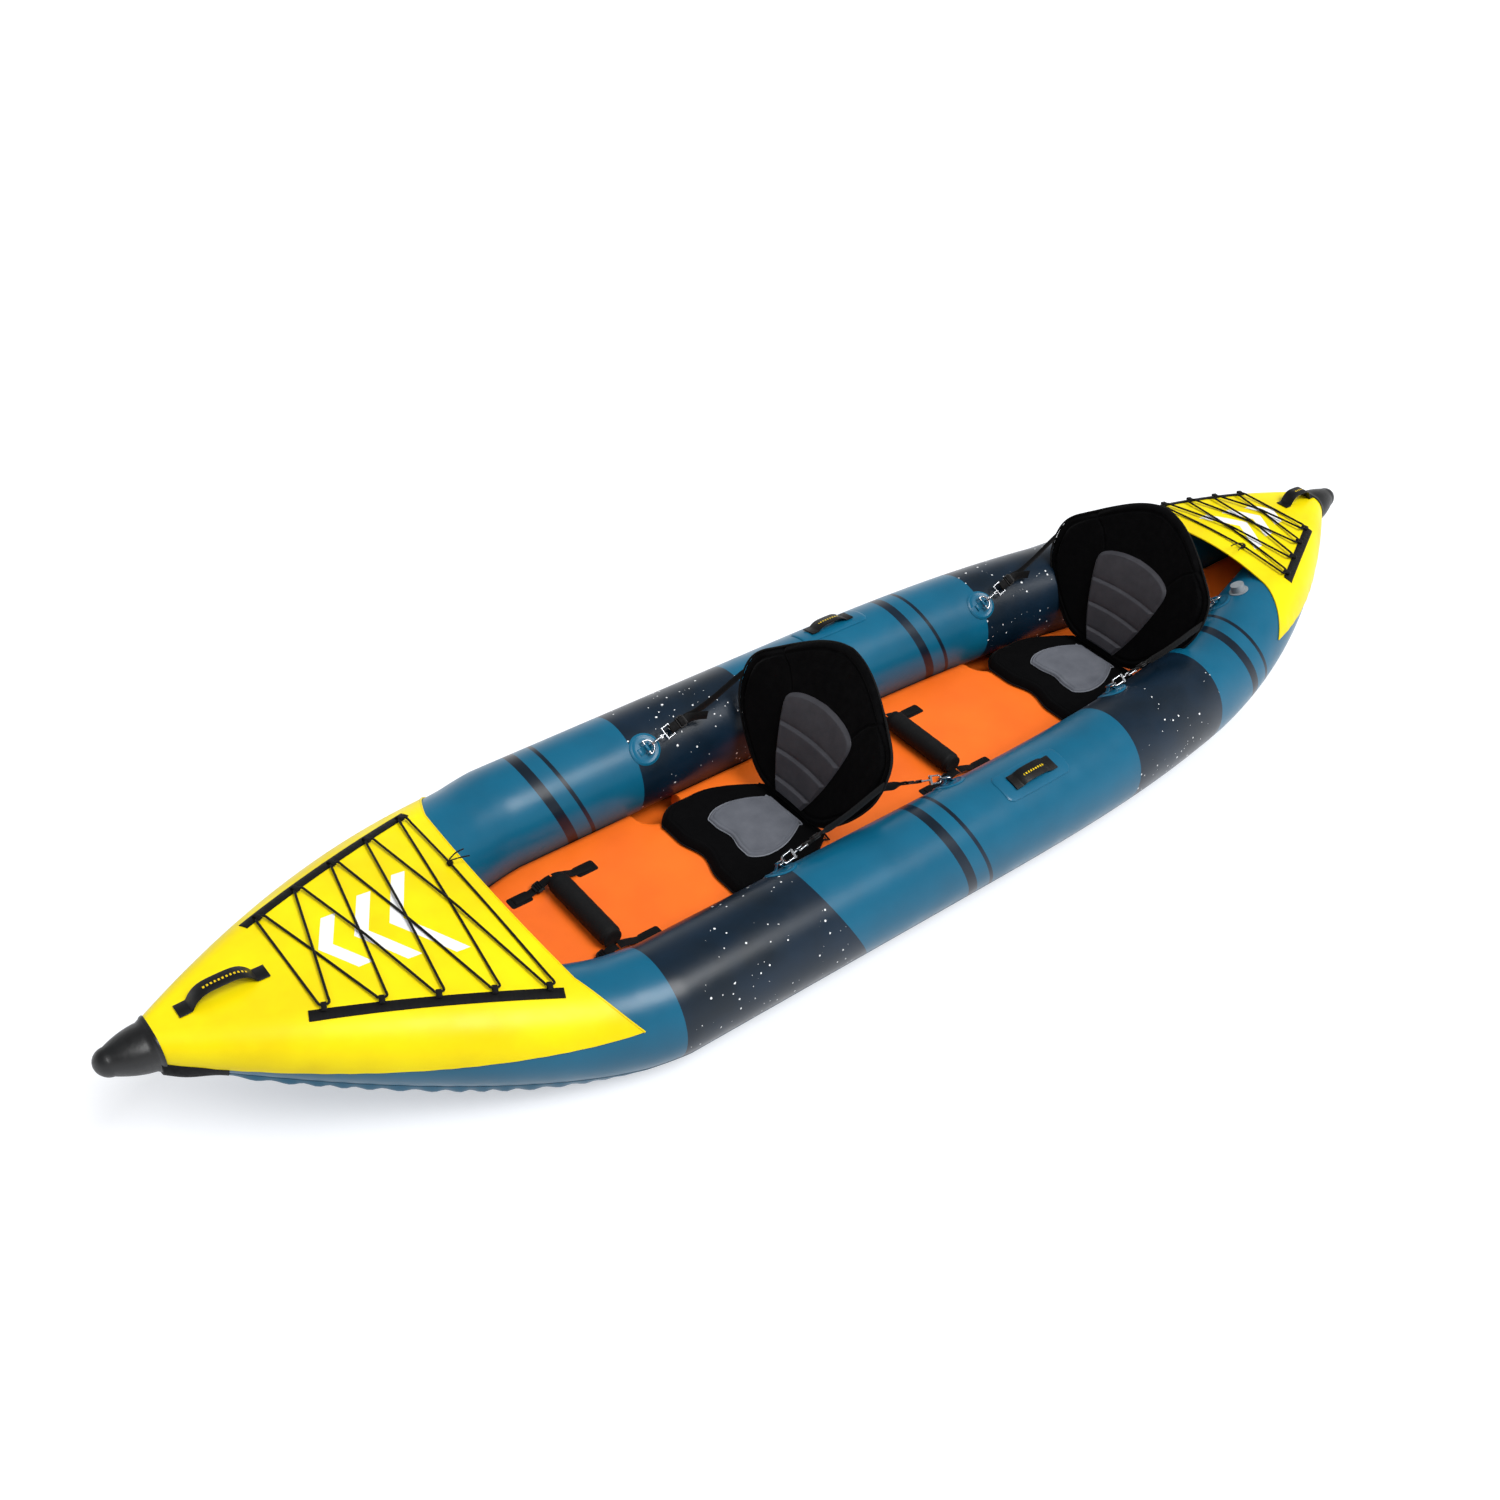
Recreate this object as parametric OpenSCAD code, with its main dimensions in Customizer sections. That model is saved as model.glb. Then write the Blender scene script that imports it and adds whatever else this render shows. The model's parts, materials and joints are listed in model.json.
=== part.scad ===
// Inflatable tandem kayak: two side tubes, a drop-stitch floor, spray decks and two strapped seats.
// Frame: +X to the bow, +Y to port, +Z up. The origin lies on the ground under the middle of the hull.

/* [Hull] */
// Overall length between the nose tips
hull_length = 4100; // [3700:50:4500]
// Overall width across the side tubes
hull_beam = 1040; // [980:10:1120]
// Diameter of a side tube amidships
tube_d = 280; // [250:5:300]
// Diameter of a side tube where it meets the nose cap
tube_end_d = 84; // [70:1:100]
// Distance between the tube centres at the nose caps
tube_end_spread = 20; // [16:1:40]
// Distance from the bow tip to where the bow starts to narrow
bow_narrow_start = 1150; // [1050:10:1350]
// How late the bow narrows, higher is fuller
bow_narrow_power = 1.3; // [1.1:0.1:2]
// Distance from amidships to where the stern starts to narrow
stern_narrow_start = 0; // [0:10:300]
// How late the stern narrows, higher is fuller
stern_narrow_power = 2.8; // [2.4:0.1:3.2]
// Distance from the bow tip to where the tubes start to taper
bow_taper_start = 950; // [750:10:1050]
// Distance from the stern tip to where the tubes start to taper
stern_taper_start = 850; // [750:10:1050]
// How late the tubes taper, higher is later
taper_power = 2; // [1.6:0.1:2.4]
// Distance from the bow tip to where the bottom starts to rise
bow_flat = 1050; // [990:10:1050]
// Distance from the stern tip to where the bottom starts to rise
stern_flat = 1000; // [900:10:1010]
// How late the bow rises, higher is later
bow_rise_power = 1.35; // [1.2:0.05:1.8]
// How late the stern rises, higher is later
stern_rise_power = 1.6; // [1.3:0.05:2]
// Height of the keel at the bow cap
bow_rise = 295; // [240:5:340]
// Height of the keel at the stern cap
stern_rise = 260; // [220:5:320]
// Thickness of the bottom skin
skin_t = 1.5; // [1:0.1:3]

/* [Nose caps and keel strips] */
// Length of a nose cap
cap_length = 115; // [90:5:150]
// Radius of the rounded tip of a nose cap
cap_tip_r = 24; // [18:1:30]
// How far the tip of a nose cap rises above its base
cap_lift = 12; // [0:1:25]
// Margin of a nose cap around the hull end
cap_margin = 4; // [2:0.5:8]
// Length of a keel strip
keel_strip_length = 230; // [120:10:320]
// Width of a keel strip
keel_strip_w = 44; // [30:1:60]
// Thickness of a keel strip
keel_strip_t = 2; // [1.5:0.1:4]

/* [Floor] */
// Thickness of the drop-stitch floor
floor_t = 75; // [60:1:90]
// Distance from each nose tip to the end of the floor
floor_reach = 550; // [510:10:650]
// Radius of the rounded side notches beside the seats
notch_r = 75; // [50:1:90]

/* [Decks] */
// Thickness of the deck sheet
deck_t = 1.5; // [1:0.1:3]
// Distance from the bow tip to the middle of the deck's cockpit edge
bow_deck_edge = 925; // [910:5:960]
// Distance from the stern tip to the middle of the deck's cockpit edge
stern_deck_edge = 620; // [590:5:630]
// How far the deck's corners reach past the middle of its cockpit edge
deck_edge_depth = 100; // [40:5:140]
// Height of the deck's crown at the cockpit edge
deck_crown = 15; // [0:1:30]
// Hem angle on the tube at the cockpit edge, 0 is level with the tube centre
deck_hem_edge = 8; // [-20:1:30]
// Hem angle on the tube at the nose cap
deck_hem_nose = -45; // [-60:1:-20]

/* [Deck lacing] */
// Width of a deck rail
rail_w = 26; // [20:1:34]
// Thickness of a deck rail
rail_t = 3; // [2:0.5:5]
// Distance from the bow tip to the nose end of the bow rails
bow_rail_nose_x = 402; // [370:2:450]
// Distance from the centreline to the nose end of the bow rails
bow_rail_nose_y = 160; // [140:2:170]
// Distance from the bow tip to the cockpit end of the bow rails
bow_rail_edge_x = 900; // [850:2:904]
// Distance from the centreline to the cockpit end of the bow rails
bow_rail_edge_y = 360; // [330:2:370]
// Distance from the stern tip to the nose end of the stern rails
stern_rail_nose_x = 300; // [280:2:350]
// Distance from the centreline to the nose end of the stern rails
stern_rail_nose_y = 130; // [118:2:140]
// Distance from the stern tip to the cockpit end of the stern rails
stern_rail_edge_x = 560; // [520:2:580]
// Distance from the centreline to the cockpit end of the stern rails
stern_rail_edge_y = 258; // [230:2:270]
// Loops on each bow rail
bow_loops = 5; // [4:1:6]
// Loops on each stern rail
stern_loops = 4; // [3:1:5]
// Width of a loop along the rail
loop_w = 12; // [8:1:16]
// Depth of a loop across the rail
loop_depth = 22; // [18:1:28]
// Thickness of the loop webbing
loop_t = 1.6; // [1:0.1:2]
// Diameter of the bungee cord
cord_d = 6; // [4:0.5:7]
// Length of the free tails at the knot
knot_tail = 45; // [25:5:70]

/* [Carry handles] */
// Length of the bow handle
bow_handle_length = 200; // [160:5:220]
// Distance from the bow tip to the middle of the bow handle
bow_handle_x = 285; // [250:5:300]
// Length of the stern handle
stern_handle_length = 140; // [120:5:180]
// Distance from the stern tip to the middle of the stern handle
stern_handle_x = 200; // [195:5:230]
// Width of an end handle
end_handle_w = 34; // [26:1:40]
// Height of the hand space under an end handle
end_handle_h = 32; // [24:1:45]
// Distance of the side handles from amidships, negative is towards the stern
side_handle_x = -250; // [-280:5:-200]
// Place of the side handles around the tube, 90 is on top
side_handle_angle = 77; // [60:1:90]
// Length of a side handle
side_handle_length = 150; // [120:5:180]
// Width of a side handle
side_handle_w = 36; // [28:1:44]
// Height of the hand space under a side handle
side_handle_h = 14; // [10:1:25]
// Thickness of the handle webbing
handle_t = 4; // [3:0.5:6]
// Length of the patch under a side handle
handle_patch_length = 230; // [200:5:260]
// Width of the patch under a side handle
handle_patch_w = 90; // [70:1:110]
// Thickness of the welded patches
patch_t = 1.2; // [0.8:0.1:2]

/* [Seats] */
// Place of the front seat, from amidships
front_seat_x = 270; // [220:5:320]
// Distance from the stern tip to the rear seat's place
rear_seat_x = 1110; // [1090:5:1170]
// Thickness of the seat base
base_t = 28; // [20:1:40]
// Thickness of the seat base at its rim
base_rim_t = 10; // [6:1:16]
// Reach of the seat base in front of the seat's place
base_front = 240; // [200:5:260]
// Reach of the seat base behind the seat's place
base_back = 80; // [70:5:100]
// Half width of the seat base at its lobes
base_half = 212; // [180:2:222]
// Half width of the seat base at its back
base_back_half = 120; // [100:2:150]
// Depth of the dip between the two front lobes
base_dip = 20; // [0:1:40]
// Thickness of the seat pad
pad_t = 10; // [6:1:16]
// Reach of the seat pad in front of the seat's place
pad_front = 152; // [130:2:165]
// Half width of the seat pad
pad_half = 112; // [90:2:120]
// Distance of the seat pad in front of the fabric hinge
pad_hinge_gap = 14; // [12:1:20]
// Half width of the seat pad at its back
pad_back_half = 62; // [50:2:80]
// Height of the backrest along its lean
back_h = 475; // [420:5:520]
// Half width of the backrest at its wings
back_half = 286; // [270:2:290]
// Thickness of the backrest
back_t = 28; // [20:1:36]
// Thickness of the backrest at its rim
back_rim_t = 10; // [8:1:14]
// How far the wings of the backrest curve forward
wing_curve = 40; // [20:1:50]
// Backwards lean of the backrest
back_lean = 22; // [15:1:25]
// Place of the fabric hinge behind the seat's place
hinge_back = 55; // [50:1:58]
// Diameter of the fabric hinge's bead
hinge_d = 8; // [6:0.5:10]
// Length of the fabric hinge
hinge_length = 120; // [90:5:130]
// Half width of the backrest insert at its top
insert_top_half = 128; // [100:2:140]
// Half width of the backrest insert at its bottom
insert_bottom_half = 62; // [50:2:66]
// Start of the backrest insert above the hinge
insert_start = 36; // [34:1:50]
// End of the backrest insert above the hinge
insert_end = 305; // [280:5:320]
// Thickness of the backrest insert
insert_t = 9; // [6:1:12]

/* [Seat straps and hooks] */
// Reach of the forward strap rings in front of the seat's place
fore_ring_reach = 215; // [190:5:230]
// Reach of the aft strap rings behind the seat's place
aft_ring_reach = 345; // [330:5:360]
// Place of the strap rings around the tube, 180 is level inboard
ring_angle = 132; // [120:1:140]
// Diameter of a ring patch
ring_patch_d = 90; // [70:2:110]
// Width of a D-ring
ring_w = 40; // [34:1:46]
// Diameter of the ring and hook wire
wire_d = 5; // [4:0.1:5.5]
// Height of a D-ring's bar above the tube
ring_lift = 15; // [14:1:20]
// Height of the fore straps on the backrest above the hinge
fore_strap_height = 250; // [230:5:270]
// Height of the aft straps on the backrest above the hinge
aft_strap_height = 200; // [180:5:220]
// Distance of the aft straps from the centreline at the backrest
aft_strap_y = 225; // [200:5:235]
// Width of the strap webbing
strap_w = 25; // [20:1:28]
// Thickness of the strap webbing
strap_t = 2; // [1.5:0.1:2.5]

/* [Foot rests] */
// Distance from the bow tip to the front foot rest
front_foot_x = 1180; // [1170:5:1210]
// Distance from the stern tip to the rear foot rest
rear_foot_x = 1785; // [1750:5:1810]
// Diameter of a foot roll
foot_d = 50; // [40:1:60]
// Length of a foot roll
foot_length = 256; // [220:2:270]
// Distance of the floor patches fore and aft of the roll
foot_patch_reach = 98; // [90:1:105]
// Length of a floor patch
foot_patch_length = 62; // [50:1:70]
// Width of a floor patch
foot_patch_w = 40; // [32:1:44]

/* [Valves] */
// Distance from the stern tip to the tube valves
tube_valve_x = 705; // [700:1:710]
// Place of the tube valves around the tube, 90 is on top
tube_valve_angle = 112.5; // [111:0.5:114]
// Distance from the stern tip to the floor valve
floor_valve_x = 650; // [610:5:670]
// Diameter of a valve flange
valve_flange_d = 56; // [50:1:60]
// Outer diameter of the valve neck
valve_neck_d = 34; // [30:1:38]
// Diameter of the valve socket, which takes the pump nozzle
valve_socket_d = 24; // [22:0.5:25]
// Depth of the valve socket
valve_socket_depth = 6; // [5:0.5:7]
// Diameter of the valve throat below the socket
valve_throat_d = 20; // [18:0.5:21]
// Diameter of the plunger stem
stem_d = 5; // [4:0.5:6]
// Travel of the plunger
plunger_travel = 4; // [3:0.5:4]

/* [Hidden] */
$fn = 48;
// Clear space between pieces that lie against each other
fit_gap = 0.3;
// Clear space between the deck sheet and the tubes under it
deck_gap = 0.9;
// Clear space under pieces that lie on a curved, faceted sheet
form_gap = 0.9;
// Clear space between the floor's round side and the tube
floor_side_gap = 1.6;
// Clear space between a pin and its hole
pin_gap = 0.3;

// Places from amidships of what is measured from a nose tip; pieces of the rear half that lie
// at one place only get it with its sign, and the others the distance alone
half_length = hull_length / 2;
bow_narrow_from = half_length - bow_narrow_start;
bow_taper_from = half_length - bow_taper_start;
stern_taper_from = half_length - stern_taper_start;
bow_flat_end = half_length - bow_flat;
stern_flat_end = half_length - stern_flat;
floor_end = half_length - floor_reach;
bow_edge_x = half_length - bow_deck_edge;
stern_edge_x = half_length - stern_deck_edge;
bow_rail_nose = half_length - bow_rail_nose_x;
bow_rail_edge = half_length - bow_rail_edge_x;
stern_rail_nose = half_length - stern_rail_nose_x;
stern_rail_edge = half_length - stern_rail_edge_x;
bow_handle_mid = half_length - bow_handle_x;
stern_handle_mid = half_length - stern_handle_x;
rear_seat_place = rear_seat_x - half_length;
front_foot_place = half_length - front_foot_x;
rear_foot_place = rear_foot_x - half_length;
tube_valve_place = tube_valve_x - half_length;
floor_valve_place = floor_valve_x - half_length;
tube_end = half_length - cap_length;
tube_mid_y = hull_beam / 2 - tube_d / 2;
tube_end_y = tube_end_spread / 2;
tube_sides = 24;
floor_base = skin_t + form_gap;
floor_top = floor_base + floor_t;
deck_nose = tube_end - 1;
// Share of the deck's half width that spans between the tube tops
deck_flat = 0.4;
deck_flat_steps = 3;
deck_arc_steps = 11;
deck_rows = 11;
deck_facet = (90 - deck_hem_nose) / deck_arc_steps;
loop_h = cord_d + 2 * loop_t + 1.3;
hinge_x = -hinge_back;
hinge_z = floor_top + fit_gap + base_t + hinge_d / 2 + fit_gap;
back_start = hinge_d / 2 + fit_gap;
wire_r = wire_d / 2;
hook_r = 10;
hook_length = 26;
hook_base_t = 6;
hook_cheek_t = 1.2;
hook_base_half = wire_r + fit_gap + hook_cheek_t;
gate_pin_d = 2;
gate_pivot_x = hook_length - hook_base_t / 2 - 0.5;
gate_eye_gap = 1;
eye_start = 38;
eye_length = 22;
hook_reach = ring_w / 2 + hook_r - wire_d - fit_gap;
strap_start = hook_reach + eye_start + eye_length + wire_r + fit_gap;
sleeve_wall = 3.5;
sleeve_length = 20;
foot_strap_y = foot_length / 2 + fit_gap + strap_w / 2 + sleeve_wall + 2;

// Vector helpers
function unit(v) = v / norm(v);
function flip(list) = [for (i = [len(list) - 1 : -1 : 0]) list[i]];
function mirrored(list) = concat([for (i = [len(list) - 1 : -1 : 1]) -list[i]], list);
// Rises from 0 at the edge to 1 at the given distance from it
function soft_edge(distance, width) = let (t = min(1, max(0, distance) / width)) t * (2 - t);

// Hull form: values change from amidships to the nose cap by a power of the distance
function fade(x, start, power) = pow(max(0, abs(x) - start) / (tube_end - start), power);
function tube_y(x) = tube_mid_y + (tube_end_y - tube_mid_y)
    * (x >= 0
        ? fade(x, bow_narrow_from, bow_narrow_power)
        : fade(x, stern_narrow_start, stern_narrow_power));
function tube_r(x) = tube_d / 2 + (tube_end_d / 2 - tube_d / 2)
    * fade(x, x >= 0 ? bow_taper_from : stern_taper_from, taper_power);
function keel_z(x) = x >= 0
    ? bow_rise * fade(x, bow_flat_end, bow_rise_power)
    : stern_rise * fade(x, stern_flat_end, stern_rise_power);
function tube_z(x) = keel_z(x) + skin_t + fit_gap + tube_r(x);
function floor_z(x) = keel_z(x) + floor_top;
// Point on the port tube: 0 is outboard, 90 is up, 180 is inboard
function tube_point(x, angle, lift = 0) = [
    x,
    tube_y(x) + (tube_r(x) + lift) * cos(angle),
    tube_z(x) + (tube_r(x) + lift) * sin(angle)
];
// Half width of the floor's flat top, so that its round side just clears the tube
function floor_half(x) = tube_y(x) - sqrt(
    pow(tube_r(x) + floor_t / 2 + floor_side_gap, 2) - pow(tube_r(x) - floor_t / 2, 2)
);
// Outward direction of the port tube's surface
function tube_normal(x, angle) = unit(cross(
    [0, -sin(angle), cos(angle)],
    tube_point(x + 10, angle) - tube_point(x - 10, angle)
));
function even_steps(from, to, count) = [for (i = [0 : count - 1]) from + (to - from) * i / count];
// Cross sections of the hull, with one where the bottom starts to rise at each end
hull_stations = concat(
    even_steps(-tube_end, -stern_flat_end, 10),
    even_steps(-stern_flat_end, bow_flat_end, 12),
    even_steps(bow_flat_end, tube_end, 11),
    [tube_end]
);
// Height of the floor's upper face, which runs straight from one cross section to the next
keel_profile = [for (x = hull_stations) [x, keel_z(x)]];
function mat_z(x) = lookup(x, keel_profile) + floor_top;
// How far the floor's rise lifts a seat that stands on it
function seat_rise(seat_x) = max(keel_z(seat_x - base_back), keel_z(seat_x + base_front));

// Deck form: u runs from the cockpit edge to the nose, v from starboard hem to port hem
function deck_edge(end, v) = (end > 0 ? bow_edge_x : stern_edge_x) - deck_edge_depth * v * v;
function deck_r(x, lift) = (tube_r(x) + deck_gap + lift) / cos(deck_facet / 2);
function deck_point(end, u, v, lift) = let (
    x = end * (deck_edge(end, v) + (deck_nose - deck_edge(end, v)) * u),
    flat = min(1, abs(v) / deck_flat),
    hem = deck_hem_edge + (deck_hem_nose - deck_hem_edge) * u,
    angle = 90 - (90 - hem) * max(0, abs(v) - deck_flat) / (1 - deck_flat),
    r = deck_r(x, lift)
) [
    x,
    sign(v) * (tube_y(x) * flat + r * cos(angle)),
    tube_z(x) + r * sin(angle) + deck_crown * (1 - u) * (1 - flat * flat)
];
// Height of the deck's upper face at a place on the boat
function deck_top(end, x, y) = let (
    r = deck_r(x, deck_t),
    flat = min(1, abs(y) / tube_y(x)),
    edge = deck_edge(end, flat * deck_flat),
    u = (abs(x) - edge) / (deck_nose - edge),
    over = max(0, abs(y) - tube_y(x))
) tube_z(x) + sqrt(max(0, r * r - over * over)) + deck_crown * (1 - u) * (1 - flat * flat);

// Deck lacing: t runs from the nose end of a rail to its cockpit end
function rail_nose(end) = end > 0
    ? [bow_rail_nose, bow_rail_nose_y]
    : [-stern_rail_nose, stern_rail_nose_y];
function rail_edge(end) = end > 0
    ? [bow_rail_edge, bow_rail_edge_y]
    : [-stern_rail_edge, stern_rail_edge_y];
function rail_along(end) = unit(rail_edge(end) - rail_nose(end));
// Inboard direction, square to the rail
function rail_inboard(end) = let (d = rail_along(end)) [-end * abs(d[1]), -abs(d[0])];
function rail_place(end, t, inboard) = rail_nose(end) + (rail_edge(end) - rail_nose(end)) * t
    + rail_inboard(end) * inboard;
function loop_count(end) = end > 0 ? bow_loops : stern_loops;
function loop_t_at(end, i) = 0.06 + 0.88 * i / (loop_count(end) - 1);
function on_deck(end, p) = [p[0], p[1], deck_top(end, p[0], p[1])];
// Frame of a loop: its place on the rail's inner edge, inboard and along the rail, and out of the deck
function loop_place(end, i) = on_deck(end, rail_place(end, loop_t_at(end, i), rail_w / 2));
function loop_inboard(end, i) = let (t = loop_t_at(end, i)) unit(
    on_deck(end, rail_place(end, t, rail_w)) - on_deck(end, rail_place(end, t, 0))
);
function loop_along(end, i) = let (t = loop_t_at(end, i)) unit(
    on_deck(end, rail_place(end, t + 0.04, rail_w / 2)) - on_deck(end, rail_place(end, t - 0.04, rail_w / 2))
);
function loop_out(end, i) = -end * unit(cross(loop_inboard(end, i), loop_along(end, i)));
loop_lift = form_gap + rail_t + 0.15;
// Centre of the cord near a loop: along the rail from the loop's middle, and inboard of its seat in the loop
function cord_in_loop(end, side, i, along, inboard) = let (
    seat = loop_depth / 2 - loop_t - cord_d / 2 - 3 * fit_gap,
    p = loop_place(end, i) + loop_inboard(end, i) * (seat + inboard) + loop_along(end, i) * along
        + loop_out(end, i) * (loop_lift + loop_h / 2)
) [p[0], side * p[1], p[2]];
// Loops in the order in which the cord visits them: zigzag out, then zigzag back
function lacing_order(end) = let (n = loop_count(end)) concat(
    [for (i = [0 : n - 1]) [i % 2 == 0 ? -1 : 1, i]],
    [for (i = [n - 1 : -1 : 0]) [i % 2 == 0 ? 1 : -1, i]]
);
loop_exit = loop_w / 2 + 1;
turn_out = loop_exit + 5;
turn_in = 6;
span_shares = [0.05, 0.12, 0.3, 0.5, 0.7, 0.88, 0.95];
wrap_d = 4;
wrap_gap = 0.8;
// Extra height of the cord: where the second zigzag crosses the first, and under the knot
function cross_rise(s) = (cord_d + 1) * max(0, 1 - abs(s - 0.5) / 0.3);
function knot_rise(s) = (wrap_d + wrap_gap) * max(0, 1 - abs(s - 0.3) / 0.15);
// The cord between two loops lies on the deck and rises to the loops at its ends
function cord_span(end, from, to, kind) = [for (s = span_shares) let (
    p = from + (to - from) * s,
    rise = kind == "over" ? cross_rise(s) : kind == "knot" ? knot_rise(s) : 0,
    lift = 1.5 + 2.5 * max(0, 1 - min(s, 1 - s) / 0.12)
) [p[0], p[1], deck_top(end, p[0], p[1]) + cord_d / 2 + lift + rise]];
function lacing_path(end) = let (order = lacing_order(end), n = len(order)) [
    for (k = [0 : n - 1])
        let (
            here = order[k],
            next = order[(k + 1) % n],
            back = k >= n / 2,
            next_back = (k + 1) % n >= n / 2,
            way = back ? -1 : 1,
            next_way = next_back ? -1 : 1,
            from = cord_in_loop(end, here[0], here[1], way * turn_out, turn_in),
            to = cord_in_loop(end, next[0], next[1], -next_way * turn_out, turn_in),
            kind = k == n / 2 - 1 ? "knot" : back && k < n - 1 ? "over" : "plain"
        )
        each concat(
            [
                cord_in_loop(end, here[0], here[1], -way * turn_out, turn_in),
                cord_in_loop(end, here[0], here[1], -way * loop_exit, 0),
                cord_in_loop(end, here[0], here[1], way * loop_exit, 0),
                from
            ],
            cord_span(end, from, to, kind)
        )
];
// Point of the cockpit-side run where the knot sits
function knot_place(end) = let (
    n = loop_count(end),
    side = n % 2 == 0 ? 1 : -1,
    from = cord_in_loop(end, side, n - 1, turn_out, turn_in),
    to = cord_in_loop(end, -side, n - 1, turn_out, turn_in)
) cord_span(end, from, to, "knot")[2];

// Seat form: the base in u from back to front and v across, heights above the floor
function base_width(u) = (base_back_half + (base_half - base_back_half) * sin(90 * min(1, u / 0.62)))
    * (u > 0.75 ? sqrt(1 - 0.45 * pow((u - 0.75) / 0.25, 2)) : 1);
function base_length(v) = base_front + base_back - base_dip * pow(cos(90 * min(1, abs(v) / 0.55)), 2);
function base_place(u, v) = [base_length(v) * u - base_back, v * base_width(u)];
function base_rise(u, v) = base_rim_t + (base_t - base_rim_t) * soft_edge(
    min((1 - abs(v)) * base_width(u), u * base_length(v), (1 - u) * base_length(v)), 24
);
function pad_width(u) = (pad_back_half + (pad_half - pad_back_half) * sin(90 * min(1, u / 0.65)))
    * (u > 0.7 ? sqrt(1 - 0.4 * pow((u - 0.7) / 0.3, 2)) : 1);
function pad_length(v) = pad_front + hinge_back - pad_hinge_gap
    - base_dip / 2 * pow(cos(90 * min(1, abs(v) / 0.6)), 2);
function pad_place(u, v) = [pad_length(v) * u - hinge_back + pad_hinge_gap, v * pad_width(u)];
// Backrest in its own plane: s up along the lean, y across, f forward out of the plane
function back_width(q) = let (
    peak = 0.54,
    t = q < peak ? (peak - q) / peak : (q - peak) / (1 - peak),
    least = q < peak ? insert_bottom_half + 8 : 46
) max(least, back_half * pow(max(0, 1 - t * t), q < peak ? 1.1 : 1.2));
function wing(y) = wing_curve * pow(y / back_half, 2);
function back_half_t(q, v) = (back_rim_t + (back_t - back_rim_t) * soft_edge(
    min((1 - abs(v)) * back_width(q), q * back_h + 6, (1 - q) * back_h), 26
)) / 2;
function insert_width(u) = insert_bottom_half + (insert_top_half - insert_bottom_half) * min(1, u / 0.88)
    * (u > 0.88 ? sqrt(1 - 0.12 * pow((u - 0.88) / 0.12, 2)) : 1);
function insert_height(u, v) = insert_start + (insert_end - insert_start - 26 * v * v * u) * u;
rib_edges = [0, 0.22, 0.43, 0.64, 1];
function rib_rise(u) = let (
    k = u >= rib_edges[3] ? 3 : u >= rib_edges[2] ? 2 : u >= rib_edges[1] ? 1 : 0,
    t = (u - rib_edges[k]) / (rib_edges[k + 1] - rib_edges[k])
) insert_t * (0.4 + 0.6 * sqrt(max(0, sin(180 * min(1, t)))));
// Place in the boat of a point of a backrest
function back_place(seat_x, y, s, f) = [
    seat_x + hinge_x - s * sin(back_lean) + f * cos(back_lean),
    y,
    hinge_z + seat_rise(seat_x) + s * cos(back_lean) + f * sin(back_lean)
];

// Seat straps: side is 1 to port, way is 1 for the forward strap and -1 for the aft one
function ring_x(seat_x, way) = seat_x + (way > 0 ? fore_ring_reach : -aft_ring_reach);
function swap_side(p, side) = [p[0], side * p[1], p[2]];
function ring_bar(seat_x, side, way) =
    swap_side(tube_point(ring_x(seat_x, way), ring_angle, ring_lift), side);
function ring_normal(side) = [0, side * cos(ring_angle), sin(ring_angle)];
function strap_end(seat_x, side, way) = way > 0
    ? back_place(seat_x, side * (back_half + strap_t / 2 + 1), fore_strap_height, wing_curve)
    : back_place(
        seat_x, side * aft_strap_y, aft_strap_height, wing(aft_strap_y) - back_t / 2 - strap_t / 2 - 3
    );
function strap_way(seat_x, side, way) = unit(strap_end(seat_x, side, way) - ring_bar(seat_x, side, way));

// Closed solid through rings of points, which turn anticlockwise seen from the end of the run
module loft(rings) {
    n = len(rings[0]);
    m = len(rings);
    sides = [
        for (i = [0 : m - 2], j = [0 : n - 1])
            let (a = i * n + j, b = i * n + (j + 1) % n, c = a + n, d = b + n)
            each [[a, c, d], [a, d, b]]
    ];
    start = [for (j = [1 : n - 2]) [0, j, j + 1]];
    finish = [for (j = [1 : n - 2]) [(m - 1) * n, (m - 1) * n + j + 1, (m - 1) * n + j]];
    polyhedron([for (ring = rings) each ring], concat(sides, start, finish));
}

// Closed ring-shaped tube through rings of points
module closed_loft(rings) {
    n = len(rings[0]);
    m = len(rings);
    sides = [
        for (i = [0 : m - 1], j = [0 : n - 1])
            let (
                next = ((i + 1) % m) * n,
                a = i * n + j,
                b = i * n + (j + 1) % n,
                c = next + j,
                d = next + (j + 1) % n
            )
            each [[a, c, d], [a, d, b]]
    ];
    polyhedron([for (ring = rings) each ring], sides);
}

// Closed sheet between two grids of points: rows cross columns point to the upper grid
module sheet(upper, lower) {
    rows = len(upper);
    cols = len(upper[0]);
    count = rows * cols;
    top_faces = [
        for (i = [0 : rows - 2], j = [0 : cols - 2])
            let (a = i * cols + j)
            each [[a, a + 1, a + cols + 1], [a, a + cols + 1, a + cols]]
    ];
    low_faces = [for (f = top_faces) [f[2] + count, f[1] + count, f[0] + count]];
    rim = concat(
        [for (j = [0 : cols - 2]) j],
        [for (i = [0 : rows - 2]) i * cols + cols - 1],
        [for (j = [cols - 1 : -1 : 1]) (rows - 1) * cols + j],
        [for (i = [rows - 1 : -1 : 1]) i * cols]
    );
    rim_faces = [
        for (k = [0 : len(rim) - 1])
            let (a = rim[k], b = rim[(k + 1) % len(rim)])
            each [[b, a, a + count], [b, a + count, b + count]]
    ];
    polyhedron(
        concat([for (row = upper) each row], [for (row = lower) each row]),
        concat(top_faces, low_faces, rim_faces)
    );
}

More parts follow.
